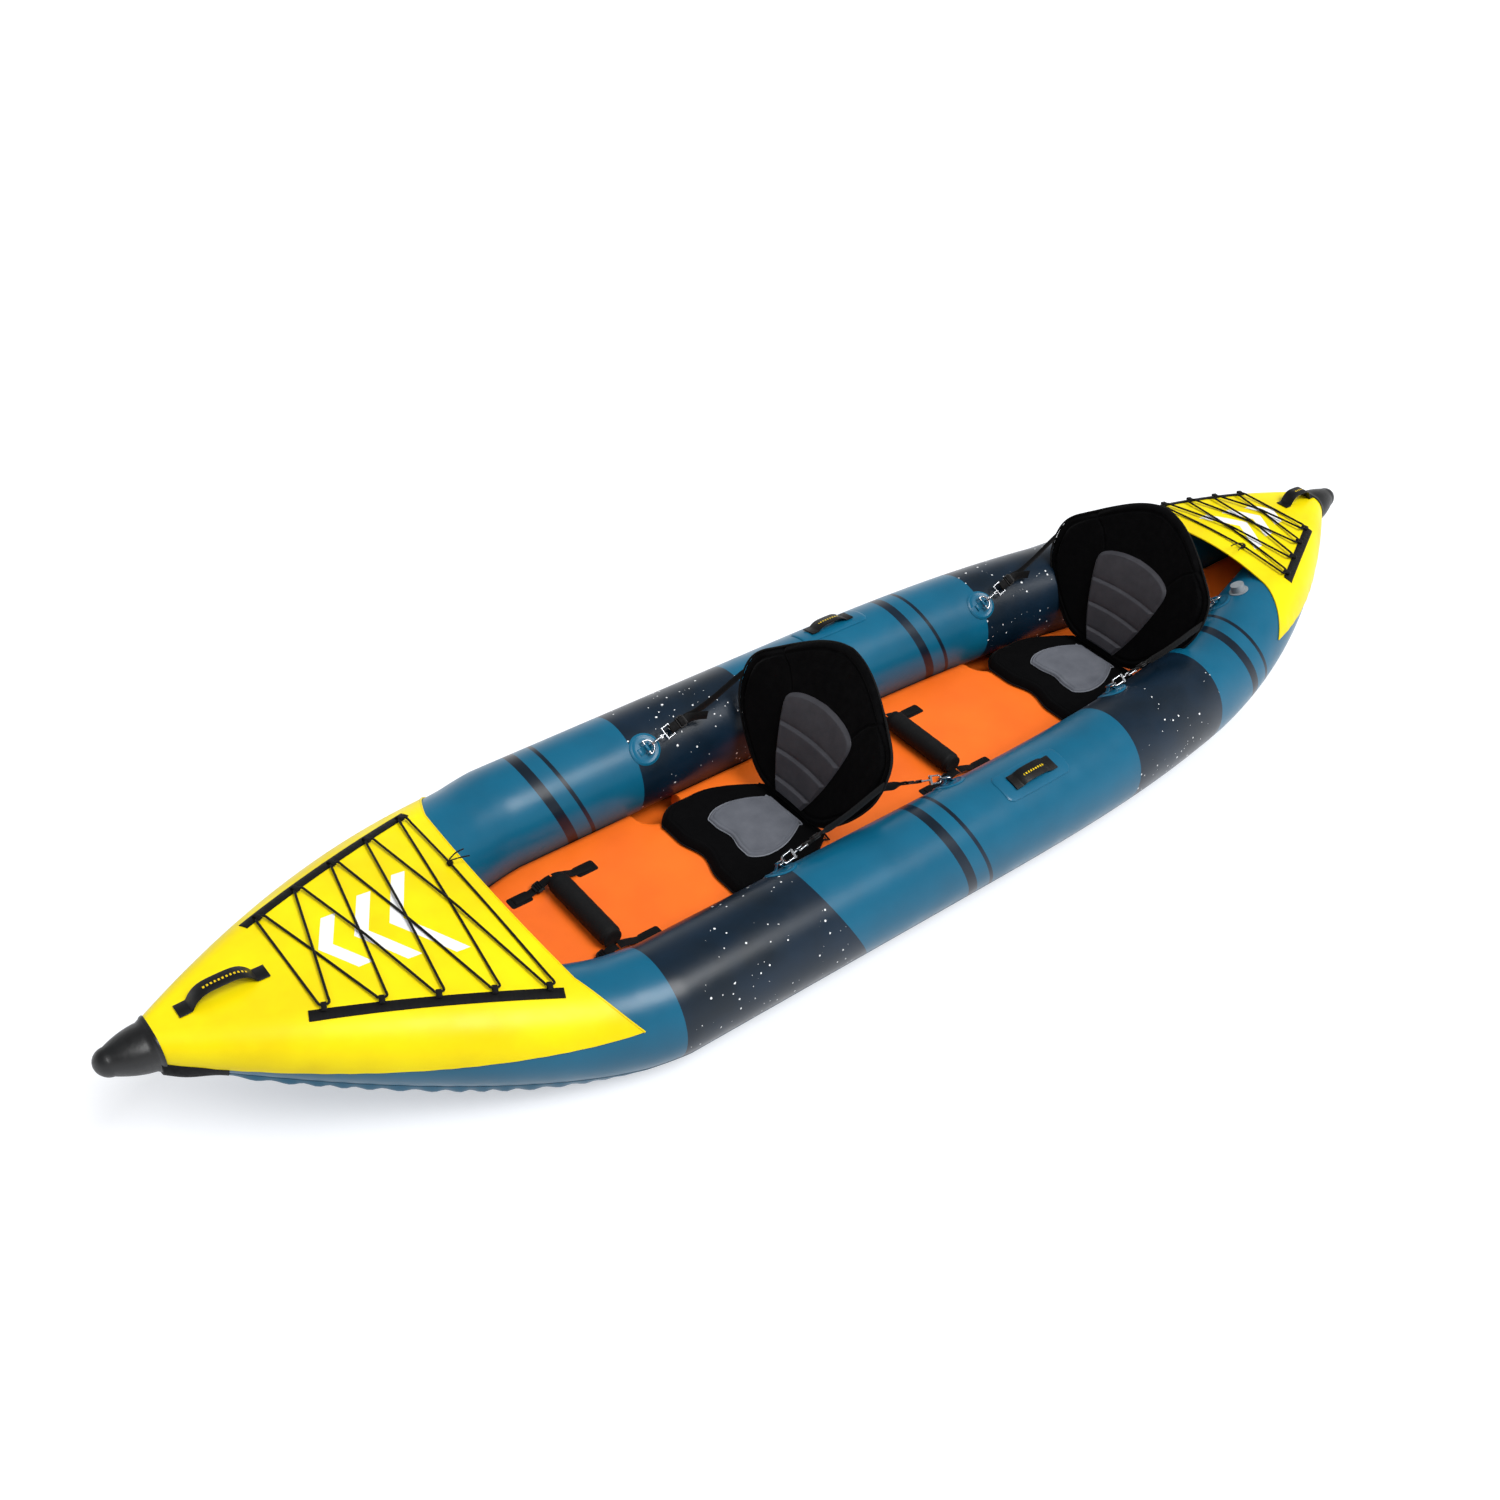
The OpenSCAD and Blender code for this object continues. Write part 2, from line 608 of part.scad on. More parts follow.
// Flat band along a path, its width turning from one direction in the first step to another at the end
module ribbon(path, width, thick, across, end_across) {
    n = len(path);
    loft([
        for (i = [0 : n - 1])
            let (
                run = unit(path[min(n - 1, i + 1)] - path[max(0, i - 1)]),
                wish = across + (end_across - across) * max(0, i - 1) / (n - 2),
                a = unit(wish - run * (wish * run)),
                rise = cross(run, a)
            )
            [for (c = [[1, 1], [-1, 1], [-1, -1], [1, -1]])
                path[i] + a * c[0] * width / 2 + rise * c[1] * thick / 2]
    ]);
}

function round_ring(centre, run, r, sides) = let (
    a = unit(abs(run[2]) > 0.9 ? cross(run, [1, 0, 0]) : cross([0, 0, 1], run)),
    b = cross(run, a)
) [for (k = [0 : sides - 1]) centre + r * (cos(360 * k / sides) * a + sin(360 * k / sides) * b)];

// Round cord along an open path
module cord(path, d) {
    n = len(path);
    loft([for (i = [0 : n - 1])
        let (run = unit(path[min(n - 1, i + 1)] - path[max(0, i - 1)]))
        round_ring(path[i], run, d / 2, 8)]);
}

// Round cord along a closed path
module closed_cord(path, d) {
    n = len(path);
    closed_loft([for (i = [0 : n - 1])
        let (run = unit(path[(i + 1) % n] - path[(i + n - 1) % n]))
        round_ring(path[i], run, d / 2, 8)]);
}

// Places children with their X along the run and their Z as near the rise as it can be
module in_frame(origin, run, rise) {
    w = unit(cross(rise, run));
    n = cross(run, w);
    multmatrix([
        [run[0], w[0], n[0], origin[0]],
        [run[1], w[1], n[1], origin[1]],
        [run[2], w[2], n[2], origin[2]],
        [0, 0, 0, 1]
    ]) children();
}

module both_sides() {
    children();
    mirror([0, 1, 0]) children();
}

// Hull
module side_tube() {
    loft([for (x = hull_stations) [for (k = [0 : tube_sides - 1])
        let (p = tube_point(x, 360 * k / tube_sides)) [p[0], max(p[1], fit_gap / 2), p[2]]]]);
}

module port_tube() {
    color("#1f7299") side_tube();
}

module starboard_tube() {
    color("#1f7299") mirror([0, 1, 0]) side_tube();
}

module bottom_skin() {
    color("#1a6186") loft([for (x = hull_stations) let (w = tube_y(x), z = keel_z(x))
        [[x, -w, z], [x, w, z], [x, w, z + skin_t], [x, -w, z + skin_t]]]);
}

module keel_strip(end) {
    near = end > 0 ? tube_end - keel_strip_length : -tube_end;
    steps = 5;
    loft([for (i = [0 : steps]) let (
        x = near + keel_strip_length * i / steps,
        z = keel_z(x) - fit_gap,
        w = keel_strip_w / 2
    ) [[x, -w, z - keel_strip_t], [x, w, z - keel_strip_t], [x, w, z], [x, -w, z]]]);
}

module keel_strips() {
    color("#161616") {
        keel_strip(1);
        keel_strip(-1);
    }
}

function stations_between(low, high) = [for (x = hull_stations) if (x > low + 5 && x < high - 5) x];
function notch_steps(x) = [for (a = [180 : -30 : 0]) x + notch_r * cos(a)];
function notch_depth(x) = let (
    front = ring_x(front_seat_x, 1),
    rear = ring_x(rear_seat_place, 1),
    from = min(abs(x - front), abs(x - rear))
) sqrt(max(0, notch_r * notch_r - from * from));

module floor_mat() {
    front = ring_x(front_seat_x, 1);
    rear = ring_x(rear_seat_place, 1);
    stations = concat(
        [-floor_end], stations_between(-floor_end, rear - notch_r), notch_steps(rear),
        stations_between(rear + notch_r, front - notch_r), notch_steps(front),
        stations_between(front + notch_r, floor_end), [floor_end]
    );
    r = floor_t / 2;
    color("#ff7a2a") loft([for (x = stations)
        let (h = floor_half(x) - notch_depth(x), z = keel_z(x) + floor_base + r)
        concat(
            [for (a = [-90 : 30 : 90]) [x, h + r * cos(a), z + r * sin(a)]],
            [for (a = [90 : 30 : 270]) [x, -h + r * cos(a), z + r * sin(a)]]
        )]);
}

// Decks and nose caps
module deck(end) {
    half_v = concat(
        [for (i = [0 : deck_flat_steps]) deck_flat * i / deck_flat_steps],
        [for (i = [1 : deck_arc_steps]) deck_flat + (1 - deck_flat) * i / deck_arc_steps]
    );
    across = mirrored(half_v);
    share = [for (i = [0 : deck_rows]) i / deck_rows];
    along = end > 0 ? share : flip(share);
    sheet(
        [for (u = along) [for (v = across) deck_point(end, u, v, deck_t)]],
        [for (u = along) [for (v = across) deck_point(end, u, v, 0)]]
    );
}

module bow_deck() {
    color("#ffe60a") deck(1);
}

module stern_deck() {
    color("#ffe60a") deck(-1);
}

// Solid rubber nose on the bow side, from the hull's end to a rounded tip
module nose_cap(base_z) {
    base_w = tube_end_y + tube_end_d / 2 + cap_margin;
    base_h = tube_end_d / 2 + cap_margin;
    start = tube_end + fit_gap;
    tip = half_length;
    shoulder = tip - cap_tip_r;
    cone = [for (s = [0, 0.35, 0.7]) [start + (shoulder - start) * s, 1 - pow(s, 1.2)]];
    dome = [for (a = [0, 25, 50, 70, 84]) [shoulder + cap_tip_r * sin(a), cos(a)]];
    rings = concat(
        [for (c = cone)
            [c[0], cap_tip_r + (base_w - cap_tip_r) * c[1], cap_tip_r + (base_h - cap_tip_r) * c[1]]],
        [for (c = dome) [c[0], cap_tip_r * c[1], cap_tip_r * c[1]]]
    );
    loft([for (ring = rings) let (z = base_z + cap_lift * (ring[0] - start) / (tip - start))
        [for (k = [0 : 15]) [ring[0], ring[1] * cos(22.5 * k), z + ring[2] * sin(22.5 * k)]]]);
}

module bow_cap() {
    color("#1c1c1e") nose_cap(tube_z(tube_end));
}

module stern_cap() {
    color("#1c1c1e") mirror([1, 0, 0]) nose_cap(tube_z(-tube_end));
}

// Deck lacing
module rail(end) {
    share = [for (i = [0 : 8]) i / 8];
    along = end > 0 ? flip(share) : share;
    function place(t, w, lift) = let (p = rail_place(end, t, -w))
        [p[0], p[1], deck_top(end, p[0], p[1]) + form_gap + lift];
    sheet(
        [for (t = along) [for (w = [-rail_w / 2, 0, rail_w / 2]) place(t, w, rail_t)]],
        [for (t = along) [for (w = [-rail_w / 2, 0, rail_w / 2]) place(t, w, 0)]]
    );
}

module lacing_loop(end, i) {
    in_frame(loop_place(end, i), loop_inboard(end, i), loop_out(end, i))
        translate([0, loop_w / 2, loop_lift + loop_h / 2])
            rotate([90, 0, 0])
                linear_extrude(loop_w)
                    difference() {
                        stadium(loop_depth, loop_h);
                        stadium(loop_depth - 2 * loop_t, loop_h - 2 * loop_t);
                    }
}

module stadium(length, height) {
    square([length - height, height], center = true);
    for (s = [-1, 1])
        translate([s * (length - height) / 2, 0]) circle(d = height);
}

module rails(end) {
    both_sides() {
        rail(end);
        for (i = [0 : loop_count(end) - 1])
            lacing_loop(end, i);
    }
}

module bow_rails() {
    color("#151515") rails(1);
}

module stern_rails() {
    color("#151515") rails(-1);
}

// Cord through all loops, with a knot of two wraps and two tails on the cockpit-side run
module bungee(end) {
    closed_cord(lacing_path(end), cord_d);
    knot = knot_place(end);
    for (s = [-1, 1])
        translate(knot + [0, s * (wrap_d / 2 + 0.2), 0])
            rotate([90, 0, 0])
                rotate_extrude()
                    translate([cord_d / 2 + wrap_d / 2 + wrap_gap, 0]) circle(d = wrap_d);
    tail_d = cord_d * 0.6;
    tail_start = knot + [0, 0, cord_d / 2 + wrap_gap + wrap_d + fit_gap + tail_d / 2];
    for (s = [-1, 1])
        cord([
            tail_start + [0, s * (wrap_d / 2 + 0.2), 0],
            tail_start + [-end * knot_tail * 0.5, s * 8, 3],
            tail_start + [-end * knot_tail, s * 12, 0]
        ], tail_d);
}

module bow_bungee() {
    color("#101010") bungee(1);
}

module stern_bungee() {
    color("#101010") bungee(-1);
}

// Carry handles
function arch(t) = 1 - pow(abs(2 * t - 1), 3);

module end_handle(end, x_mid, length) {
    foot = 0.14;
    steps = 14;
    path = [for (i = [0 : steps]) let (
        t = i / steps,
        x = end * x_mid + (t - 0.5) * length,
        rise = t < foot || t > 1 - foot ? 0 : arch((t - foot) / (1 - 2 * foot))
    ) [x, 0, deck_top(end, x, 0) + form_gap + handle_t / 2 + end_handle_h * rise]];
    ribbon(path, end_handle_w, handle_t, [0, 1, 0], [0, 1, 0]);
}

module bow_handle() {
    color("#141414") end_handle(1, bow_handle_mid, bow_handle_length);
}

module stern_handle() {
    color("#141414") end_handle(-1, stern_handle_mid, stern_handle_length);
}

module side_handle() {
    foot = 0.16;
    steps = 12;
    path = [for (i = [0 : steps]) let (
        t = i / steps,
        x = side_handle_x + (t - 0.5) * side_handle_length,
        rise = t < foot || t > 1 - foot ? 0 : arch((t - foot) / (1 - 2 * foot)),
        lift = 2 * form_gap + patch_t + handle_t / 2 + side_handle_h * rise
    ) tube_point(x, side_handle_angle, lift)];
    across = [0, sin(side_handle_angle), -cos(side_handle_angle)];
    ribbon(path, side_handle_w, handle_t, across, across);
}

module port_side_handle() {
    color("#141414") side_handle();
}

module starboard_side_handle() {
    color("#141414") mirror([0, 1, 0]) side_handle();
}

// Patch on the tube: half_length along it, and a half width that may change along its length
module tube_patch(x, angle, rows, cols, half_length, half_widths) {
    function place(i, j, lift) = let (
        px = x + half_length * (2 * i / (rows - 1) - 1),
        turn = half_widths[i] * (2 * j / (cols - 1) - 1) / tube_r(px) * 180 / PI
    ) tube_point(px, angle - turn, lift);
    sheet(
        [for (i = [0 : rows - 1]) [for (j = [0 : cols - 1]) place(i, j, form_gap + patch_t)]],
        [for (i = [0 : rows - 1]) [for (j = [0 : cols - 1]) place(i, j, form_gap)]]
    );
}

module side_handle_patches() {
    widths = [for (i = [0 : 4]) handle_patch_w / 2];
    color("#1b6a90") both_sides()
        tube_patch(side_handle_x, side_handle_angle, 5, 7, handle_patch_length / 2, widths);
}

// Seats
grid_u = [0, 0.035, 0.07, 0.2, 0.36, 0.5, 0.64, 0.78, 0.88, 0.94, 0.98, 1];
grid_v = mirrored([0, 0.25, 0.5, 0.72, 0.86, 0.95, 1]);

module seat_base(seat_x) {
    color("#0d0d0f") translate([seat_x, 0, floor_top + seat_rise(seat_x) + fit_gap]) sheet(
        [for (u = grid_u) [for (v = grid_v) let (p = base_place(u, v)) [p[0], p[1], base_rise(u, v)]]],
        [for (u = grid_u) [for (v = grid_v) let (p = base_place(u, v)) [p[0], p[1], 0]]]
    );
}

module seat_pad(seat_x) {
    rows = [0, 0.08, 0.25, 0.45, 0.65, 0.82, 0.93, 1];
    cols = mirrored([0, 0.35, 0.65, 0.88, 1]);
    function rise(u, v) = pad_t * (0.35 + 0.65 * soft_edge(
        min((1 - abs(v)) * pad_width(u), u * pad_length(v), (1 - u) * pad_length(v)), 22
    ));
    pad_z = floor_top + seat_rise(seat_x) + 2 * fit_gap + base_t;
    color("#74767c") translate([seat_x, 0, pad_z]) sheet(
        [for (u = rows) [for (v = cols) let (p = pad_place(u, v)) [p[0], p[1], rise(u, v)]]],
        [for (u = rows) [for (v = cols) let (p = pad_place(u, v)) [p[0], p[1], 0]]]
    );
}

module seat_hinge(seat_x) {
    color("#0d0d0f") translate([seat_x + hinge_x, hinge_length / 2, hinge_z + seat_rise(seat_x)])
        rotate([90, 0, 0]) cylinder(d = hinge_d, h = hinge_length);
}

module backrest(seat_x) {
    rows = [0, 0.05, 0.12, 0.22, 0.33, 0.44, 0.54, 0.64, 0.74, 0.83, 0.9, 0.95, 0.985, 1];
    cols = flip(grid_v);
    function face(q, v, way) = let (y = v * back_width(q))
        back_place(seat_x, y, back_start + q * back_h, wing(y) + way * back_half_t(q, v));
    color("#0b0b0d") sheet(
        [for (q = rows) [for (v = cols) face(q, v, 1)]],
        [for (q = rows) [for (v = cols) face(q, v, -1)]]
    );
}

module backrest_insert(seat_x) {
    rows = concat(
        [0, 0.03, 0.11, 0.19, 0.22, 0.25, 0.325, 0.4, 0.43, 0.46, 0.535, 0.61, 0.64],
        [0.67, 0.75, 0.85, 0.93, 0.98, 1]
    );
    cols = flip(mirrored([0, 0.4, 0.75, 1]));
    function face(u, v, lift) = let (y = v * insert_width(u))
        back_place(seat_x, y, insert_height(u, v), wing(y) + back_t / 2 + form_gap + lift);
    color("#3c3c40") sheet(
        [for (u = rows) [for (v = cols) face(u, v, rib_rise(u))]],
        [for (u = rows) [for (v = cols) face(u, v, 0)]]
    );
}

// Seat straps with their rings, hooks and buckles
strap_corners = [[1, 1], [-1, 1], [1, -1], [-1, -1]];

module seat_strap(seat_x, side, way) {
    run = strap_way(seat_x, side, way);
    from = ring_bar(seat_x, side, way) + run * strap_start;
    to = strap_end(seat_x, side, way);
    across = unit(cross(ring_normal(side), run));
    up_back = [-sin(back_lean), 0, cos(back_lean)];
    end_across = up_back * sign(up_back * across);
    path = [for (s = [0, 0.3, 0.5, 0.65, 0.8, 0.9, 1]) from + (to - from) * s];
    ribbon(path, strap_w, strap_t, across, end_across);
}

module seat_straps(seat_x) {
    color("#101012") for (c = strap_corners)
        seat_strap(seat_x, c[0], c[1]);
}

// Buckle frame that the webbing passes through
module sleeve() {
    difference() {
        cube([sleeve_length, strap_w + 2 * sleeve_wall + 1, strap_t + 2 * sleeve_wall + 1], center = true);
        cube([sleeve_length + 2, strap_w + 1, strap_t + 1], center = true);
    }
}

module seat_buckles(seat_x) {
    color("#18181a") for (c = strap_corners) {
        run = strap_way(seat_x, c[0], c[1]);
        bar = ring_bar(seat_x, c[0], c[1]);
        in_frame(bar + run * (strap_start + 30), run, ring_normal(c[0])) sleeve();
    }
}

module each_ring() {
    for (seat_x = [front_seat_x, rear_seat_place])
        for (c = strap_corners)
            in_frame(ring_bar(seat_x, c[0], c[1]), strap_way(seat_x, c[0], c[1]), ring_normal(c[0]))
                children();
}

// Welded disc with the tab that holds the D-ring's bar
module ring_patches() {
    patch_rows = 7;
    r = ring_patch_d / 2;
    widths = [for (i = [0 : patch_rows - 1])
        let (s = 2 * i / (patch_rows - 1) - 1) r * sqrt(max(0.12, 1 - s * s))];
    tab_d = wire_d + 5;
    tab_w = ring_w / 2;
    color("#1b6a90") {
        for (seat_x = [front_seat_x, rear_seat_place])
            for (way = [1, -1])
                both_sides() tube_patch(ring_x(seat_x, way), ring_angle, patch_rows, 5, r, widths);
        for (seat_x = [front_seat_x, rear_seat_place])
            for (c = strap_corners)
                ring_tab(seat_x, c[0], c[1], tab_d, tab_w);
    }
}

// Tab that stands square on the tube and holds the bar of the ring
module ring_tab(seat_x, side, way, tab_d, tab_w) {
    run = strap_way(seat_x, side, way);
    normal = ring_normal(side);
    flat_run = unit(run - normal * (run * normal));
    foot = ring_lift - form_gap - patch_t - 0.6;
    in_frame(ring_bar(seat_x, side, way), flat_run, normal) difference() {
        union() {
            rotate([90, 0, 0]) cylinder(d = tab_d, h = tab_w, center = true);
            translate([-tab_d / 4, -tab_w / 2, -foot]) cube([tab_d / 2, tab_w, foot]);
        }
        rotate([90, 0, 0]) cylinder(d = wire_d + 2 * pin_gap, h = tab_w + 2, center = true);
    }
}

module d_ring() {
    bow_r = ring_w / 2;
    rotate([0, 0, -90])
        rotate_extrude(angle = 180)
            translate([bow_r, 0]) circle(d = wire_d);
    for (s = [-1, 1])
        translate([0, s * bow_r, 0]) sphere(d = wire_d);
    rotate([90, 0, 0]) cylinder(d = wire_d, h = ring_w, center = true);
}

module d_rings() {
    color("#c9ccd0") each_ring() d_ring();
}

// Hook along X: bend round the ring's bow, spine, base with a fork for the gate, and the bar for the strap
module snap_hook() {
    translate([hook_reach, 0, 0]) {
        rotate([90, 0, 0]) rotate([0, 0, 90])
            rotate_extrude(angle = 180)
                translate([hook_r, 0]) circle(d = wire_d);
        translate([0, 0, -hook_r]) rotate([0, 90, 0]) cylinder(d = wire_d, h = hook_length - 2);
        translate([hook_length - hook_base_t, -hook_base_half, -hook_r - wire_r - 0.5])
            cube([hook_base_t, 2 * hook_base_half, 2 * hook_r - gate_eye_gap]);
        for (s = [-1, 1])
            translate([
                hook_length - hook_base_t,
                s * (hook_base_half - hook_cheek_t / 2) - hook_cheek_t / 2,
                0
            ])
                cube([hook_base_t, hook_cheek_t, hook_r + wire_r]);
        translate([gate_pivot_x, 0, hook_r]) rotate([90, 0, 0])
            cylinder(d = gate_pin_d, h = 2 * hook_base_half - 0.4, center = true);
        translate([hook_length - 1, 0, 0]) rotate([0, 90, 0])
            cylinder(d = wire_d - 1, h = eye_start - hook_length + 1);
        strap_eye();
    }
}

// Four-sided eye that the webbing wraps round
module strap_eye() {
    half = strap_w / 2 + wire_r + 1;
    for (x = [eye_start, eye_start + eye_length])
        translate([x, 0, 0]) rotate([90, 0, 0]) cylinder(d = wire_d, h = 2 * half + wire_d, center = true);
    for (s = [-1, 1])
        translate([eye_start, s * half, 0]) rotate([0, 90, 0]) cylinder(d = wire_d - 1, h = eye_length);
}

module snap_hooks() {
    color("#c9ccd0") each_ring() snap_hook();
}

// Gate that closes the hook's mouth, from its eye on the pivot pin to the tip
module hook_gate(seat_x, side, way) {
    color("#aeb2b8")
        in_frame(ring_bar(seat_x, side, way), strap_way(seat_x, side, way), ring_normal(side))
            translate([hook_reach, 0, hook_r]) difference() {
                union() {
                    translate([fit_gap, 0, 0]) rotate([0, 90, 0])
                        cylinder(d = wire_d - 1, h = gate_pivot_x - 1);
                    translate([gate_pivot_x, 0, 0]) rotate([90, 0, 0])
                        cylinder(d = wire_d, h = wire_d, center = true);
                }
                translate([gate_pivot_x, 0, 0]) rotate([90, 0, 0])
                    cylinder(d = gate_pin_d + 2 * pin_gap, h = wire_d + 2, center = true);
            }
}

// Foot rests
module foot_roll(foot_x) {
    r = foot_d / 2;
    round_r = 6;
    half = foot_length / 2;
    color("#1b1b1d") translate([foot_x, 0, mat_z(foot_x) + fit_gap + r])
        rotate([90, 0, 0])
            rotate_extrude()
                union() {
                    translate([0, -half]) square([r - round_r, foot_length]);
                    translate([0, -half + round_r]) square([r, foot_length - 2 * round_r]);
                    for (s = [-1, 1])
                        translate([r - round_r, s * (half - round_r)]) circle(r = round_r);
                }
}

// Webbing from the end of the roll down to the floor patches
module foot_straps(foot_x) {
    high = mat_z(foot_x) + fit_gap + foot_d / 2;
    color("#121214") both_sides()
        for (s = [-1, 1]) {
            slope = foot_slope(foot_x, s);
            far = foot_x + s * (foot_patch_reach + foot_patch_length / 4);
            low = 2 * fit_gap + patch_t + strap_t / 2 + 0.5;
            path = [
                [foot_x + s * (strap_t + 1), foot_strap_y, high],
                slope[0],
                slope[1],
                [far, foot_strap_y, mat_z(far) + low]
            ];
            ribbon(path, strap_w, strap_t, [0, 1, 0], [0, 1, 0]);
        }
}

// Side point of a foot strap's slope, fore of the roll, where its buckle sits
function foot_slope(foot_x, s) = [
    [foot_x + s * 18, foot_strap_y, mat_z(foot_x) + fit_gap + foot_d / 2 - 2],
    let (near = foot_x + s * (foot_patch_reach - foot_patch_length / 2))
        [near, foot_strap_y, mat_z(near) + 2 * fit_gap + patch_t + strap_t / 2 + 3]
];

module foot_buckles() {
    color("#18181a") both_sides()
        for (foot_x = [front_foot_place, rear_foot_place]) {
            slope = foot_slope(foot_x, 1);
            in_frame((slope[0] + slope[1]) / 2, unit(slope[1] - slope[0]), [0, 0, 1]) sleeve();
        }
}

module foot_patches() {
    color("#121214") both_sides()
        for (foot_x = [front_foot_place, rear_foot_place])
            for (s = [-1, 1]) {
                mid = foot_x + s * foot_patch_reach;
                xs = [for (k = [-1, 0, 1]) mid + k * foot_patch_length / 2];
                ys = [foot_strap_y - foot_patch_w / 2, foot_strap_y + foot_patch_w / 2];
                sheet(
                    [for (x = xs) [for (y = ys) [x, y, mat_z(x) + fit_gap + patch_t]]],
                    [for (x = xs) [for (y = ys) [x, y, mat_z(x) + fit_gap]]]
                );
            }
}

// Valves
valve_floor_t = 2;
// The flange presses a little way into the soft tube's round form
valve_sink = 0.5;
valve_flange_t = 2.5;
guide_d = stem_d + 4;
guide_h = 6;
head_d = valve_throat_d - 4;
head_t = 2;
head_z = guide_h + plunger_travel + 1;
valve_h = head_z + head_t + 1 + valve_socket_depth;
cap_skirt_t = 2.5;
cap_top_t = 3;
spring_wire = 1.2;
spring_r = guide_d / 2 + 1.5;
spring_turns = 3;

module on_tube(side) {
    normal = swap_side(tube_normal(tube_valve_place, tube_valve_angle), side);
    place = swap_side(tube_point(tube_valve_place, tube_valve_angle), side) - normal * valve_sink;
    in_frame(place, unit(cross([0, 1, 0], normal)), normal) children();
}

module on_floor() {
    reach = valve_flange_d / 2;
    along = unit([2 * reach, 0, floor_z(floor_valve_place + reach) - floor_z(floor_valve_place - reach)]);
    normal = cross(along, [0, 1, 0]);
    in_frame([floor_valve_place, 0, floor_z(floor_valve_place)] + normal * form_gap, along, normal) children();
}

module valve_body() {
    difference() {
        union() {
            cylinder(d = valve_flange_d, h = valve_flange_t);
            cylinder(d = valve_neck_d, h = valve_h);
        }
        translate([0, 0, valve_floor_t]) difference() {
            cylinder(d = valve_throat_d, h = valve_h);
            cylinder(d = guide_d, h = guide_h - valve_floor_t);
        }
        translate([0, 0, valve_floor_t]) cylinder(d = stem_d + 2 * pin_gap, h = valve_h);
        translate([0, 0, valve_h - valve_socket_depth])
            cylinder(d = valve_socket_d, h = valve_socket_depth + 1);
    }
}

module valve_bodies() {
    color("#9aa0a4") {
        on_tube(1) valve_body();
        on_tube(-1) valve_body();
        on_floor() valve_body();
    }
}

module valve_cap() {
    skirt_d = valve_neck_d + 2 * fit_gap;
    cap_z = valve_flange_t + fit_gap;
    top = valve_h + fit_gap;
    color("#b4b9bc") difference() {
        translate([0, 0, cap_z]) cylinder(d = skirt_d + 2 * cap_skirt_t, h = top + cap_top_t - cap_z);
        translate([0, 0, cap_z - 1]) cylinder(d = skirt_d, h = top - cap_z + 1);
    }
}

module plunger() {
    color("#d8dadc") {
        translate([0, 0, head_z]) cylinder(d = head_d, h = head_t);
        translate([0, 0, valve_floor_t + plunger_travel + fit_gap])
            cylinder(d = stem_d, h = head_z - valve_floor_t - plunger_travel - fit_gap);
    }
}

// Coil spring between the throat's floor and the plunger's head
module valve_spring() {
    low = valve_floor_t + fit_gap + spring_wire / 2;
    high = head_z - fit_gap - spring_wire / 2;
    turn_rings = 7;
    count = spring_turns * turn_rings;
    color("#b9bcc0") loft([for (i = [0 : count]) let (
        a = 360 * i / turn_rings,
        rise = (high - low) / (spring_turns * 2 * PI * spring_r),
        run = unit([-sin(a), cos(a), rise])
    ) round_spring_ring([spring_r * cos(a), spring_r * sin(a), low + (high - low) * i / count], run, a)]);
}

function round_spring_ring(centre, run, a) = let (
    out = [cos(a), sin(a), 0],
    b = cross(run, out)
) [for (k = [0 : 4]) centre + spring_wire / 2 * (cos(72 * k) * out + sin(72 * k) * b)];

port_tube();
starboard_tube();
bottom_skin();
keel_strips();
floor_mat();
bow_deck();
stern_deck();
bow_cap();
stern_cap();
bow_handle();
stern_handle();
port_side_handle();
starboard_side_handle();
side_handle_patches();
bow_rails();
stern_rails();
bow_bungee();
stern_bungee();
seat_base(front_seat_x);  // front_seat_base
seat_pad(front_seat_x);  // front_seat_pad
seat_hinge(front_seat_x);  // front_seat_hinge
backrest(front_seat_x);  // front_backrest
backrest_insert(front_seat_x);  // front_backrest_insert
seat_straps(front_seat_x);  // front_seat_straps
seat_buckles(front_seat_x);  // front_seat_buckles
seat_base(rear_seat_place);  // rear_seat_base
seat_pad(rear_seat_place);  // rear_seat_pad
seat_hinge(rear_seat_place);  // rear_seat_hinge
backrest(rear_seat_place);  // rear_backrest
backrest_insert(rear_seat_place);  // rear_backrest_insert
seat_straps(rear_seat_place);  // rear_seat_straps
seat_buckles(rear_seat_place);  // rear_seat_buckles
ring_patches();
d_rings();
snap_hooks();
hook_gate(front_seat_x, 1, 1);  // front_port_fore_gate
hook_gate(front_seat_x, -1, 1);  // front_starboard_fore_gate
hook_gate(front_seat_x, 1, -1);  // front_port_aft_gate
hook_gate(front_seat_x, -1, -1);  // front_starboard_aft_gate
hook_gate(rear_seat_place, 1, 1);  // rear_port_fore_gate
hook_gate(rear_seat_place, -1, 1);  // rear_starboard_fore_gate
hook_gate(rear_seat_place, 1, -1);  // rear_port_aft_gate
hook_gate(rear_seat_place, -1, -1);  // rear_starboard_aft_gate
foot_roll(front_foot_place);  // front_foot_roll
foot_straps(front_foot_place);  // front_foot_straps
foot_roll(rear_foot_place);  // rear_foot_roll
foot_straps(rear_foot_place);  // rear_foot_straps
foot_patches();
foot_buckles();
valve_bodies();
on_tube(1) valve_cap();  // port_valve_cap
on_tube(-1) valve_cap();  // starboard_valve_cap
on_floor() valve_cap();  // floor_valve_cap
on_tube(1) plunger();  // port_valve_plunger
on_tube(-1) plunger();  // starboard_valve_plunger
on_floor() plunger();  // floor_valve_plunger
on_tube(1) valve_spring();  // port_valve_spring
on_tube(-1) valve_spring();  // starboard_valve_spring
on_floor() valve_spring();  // floor_valve_spring
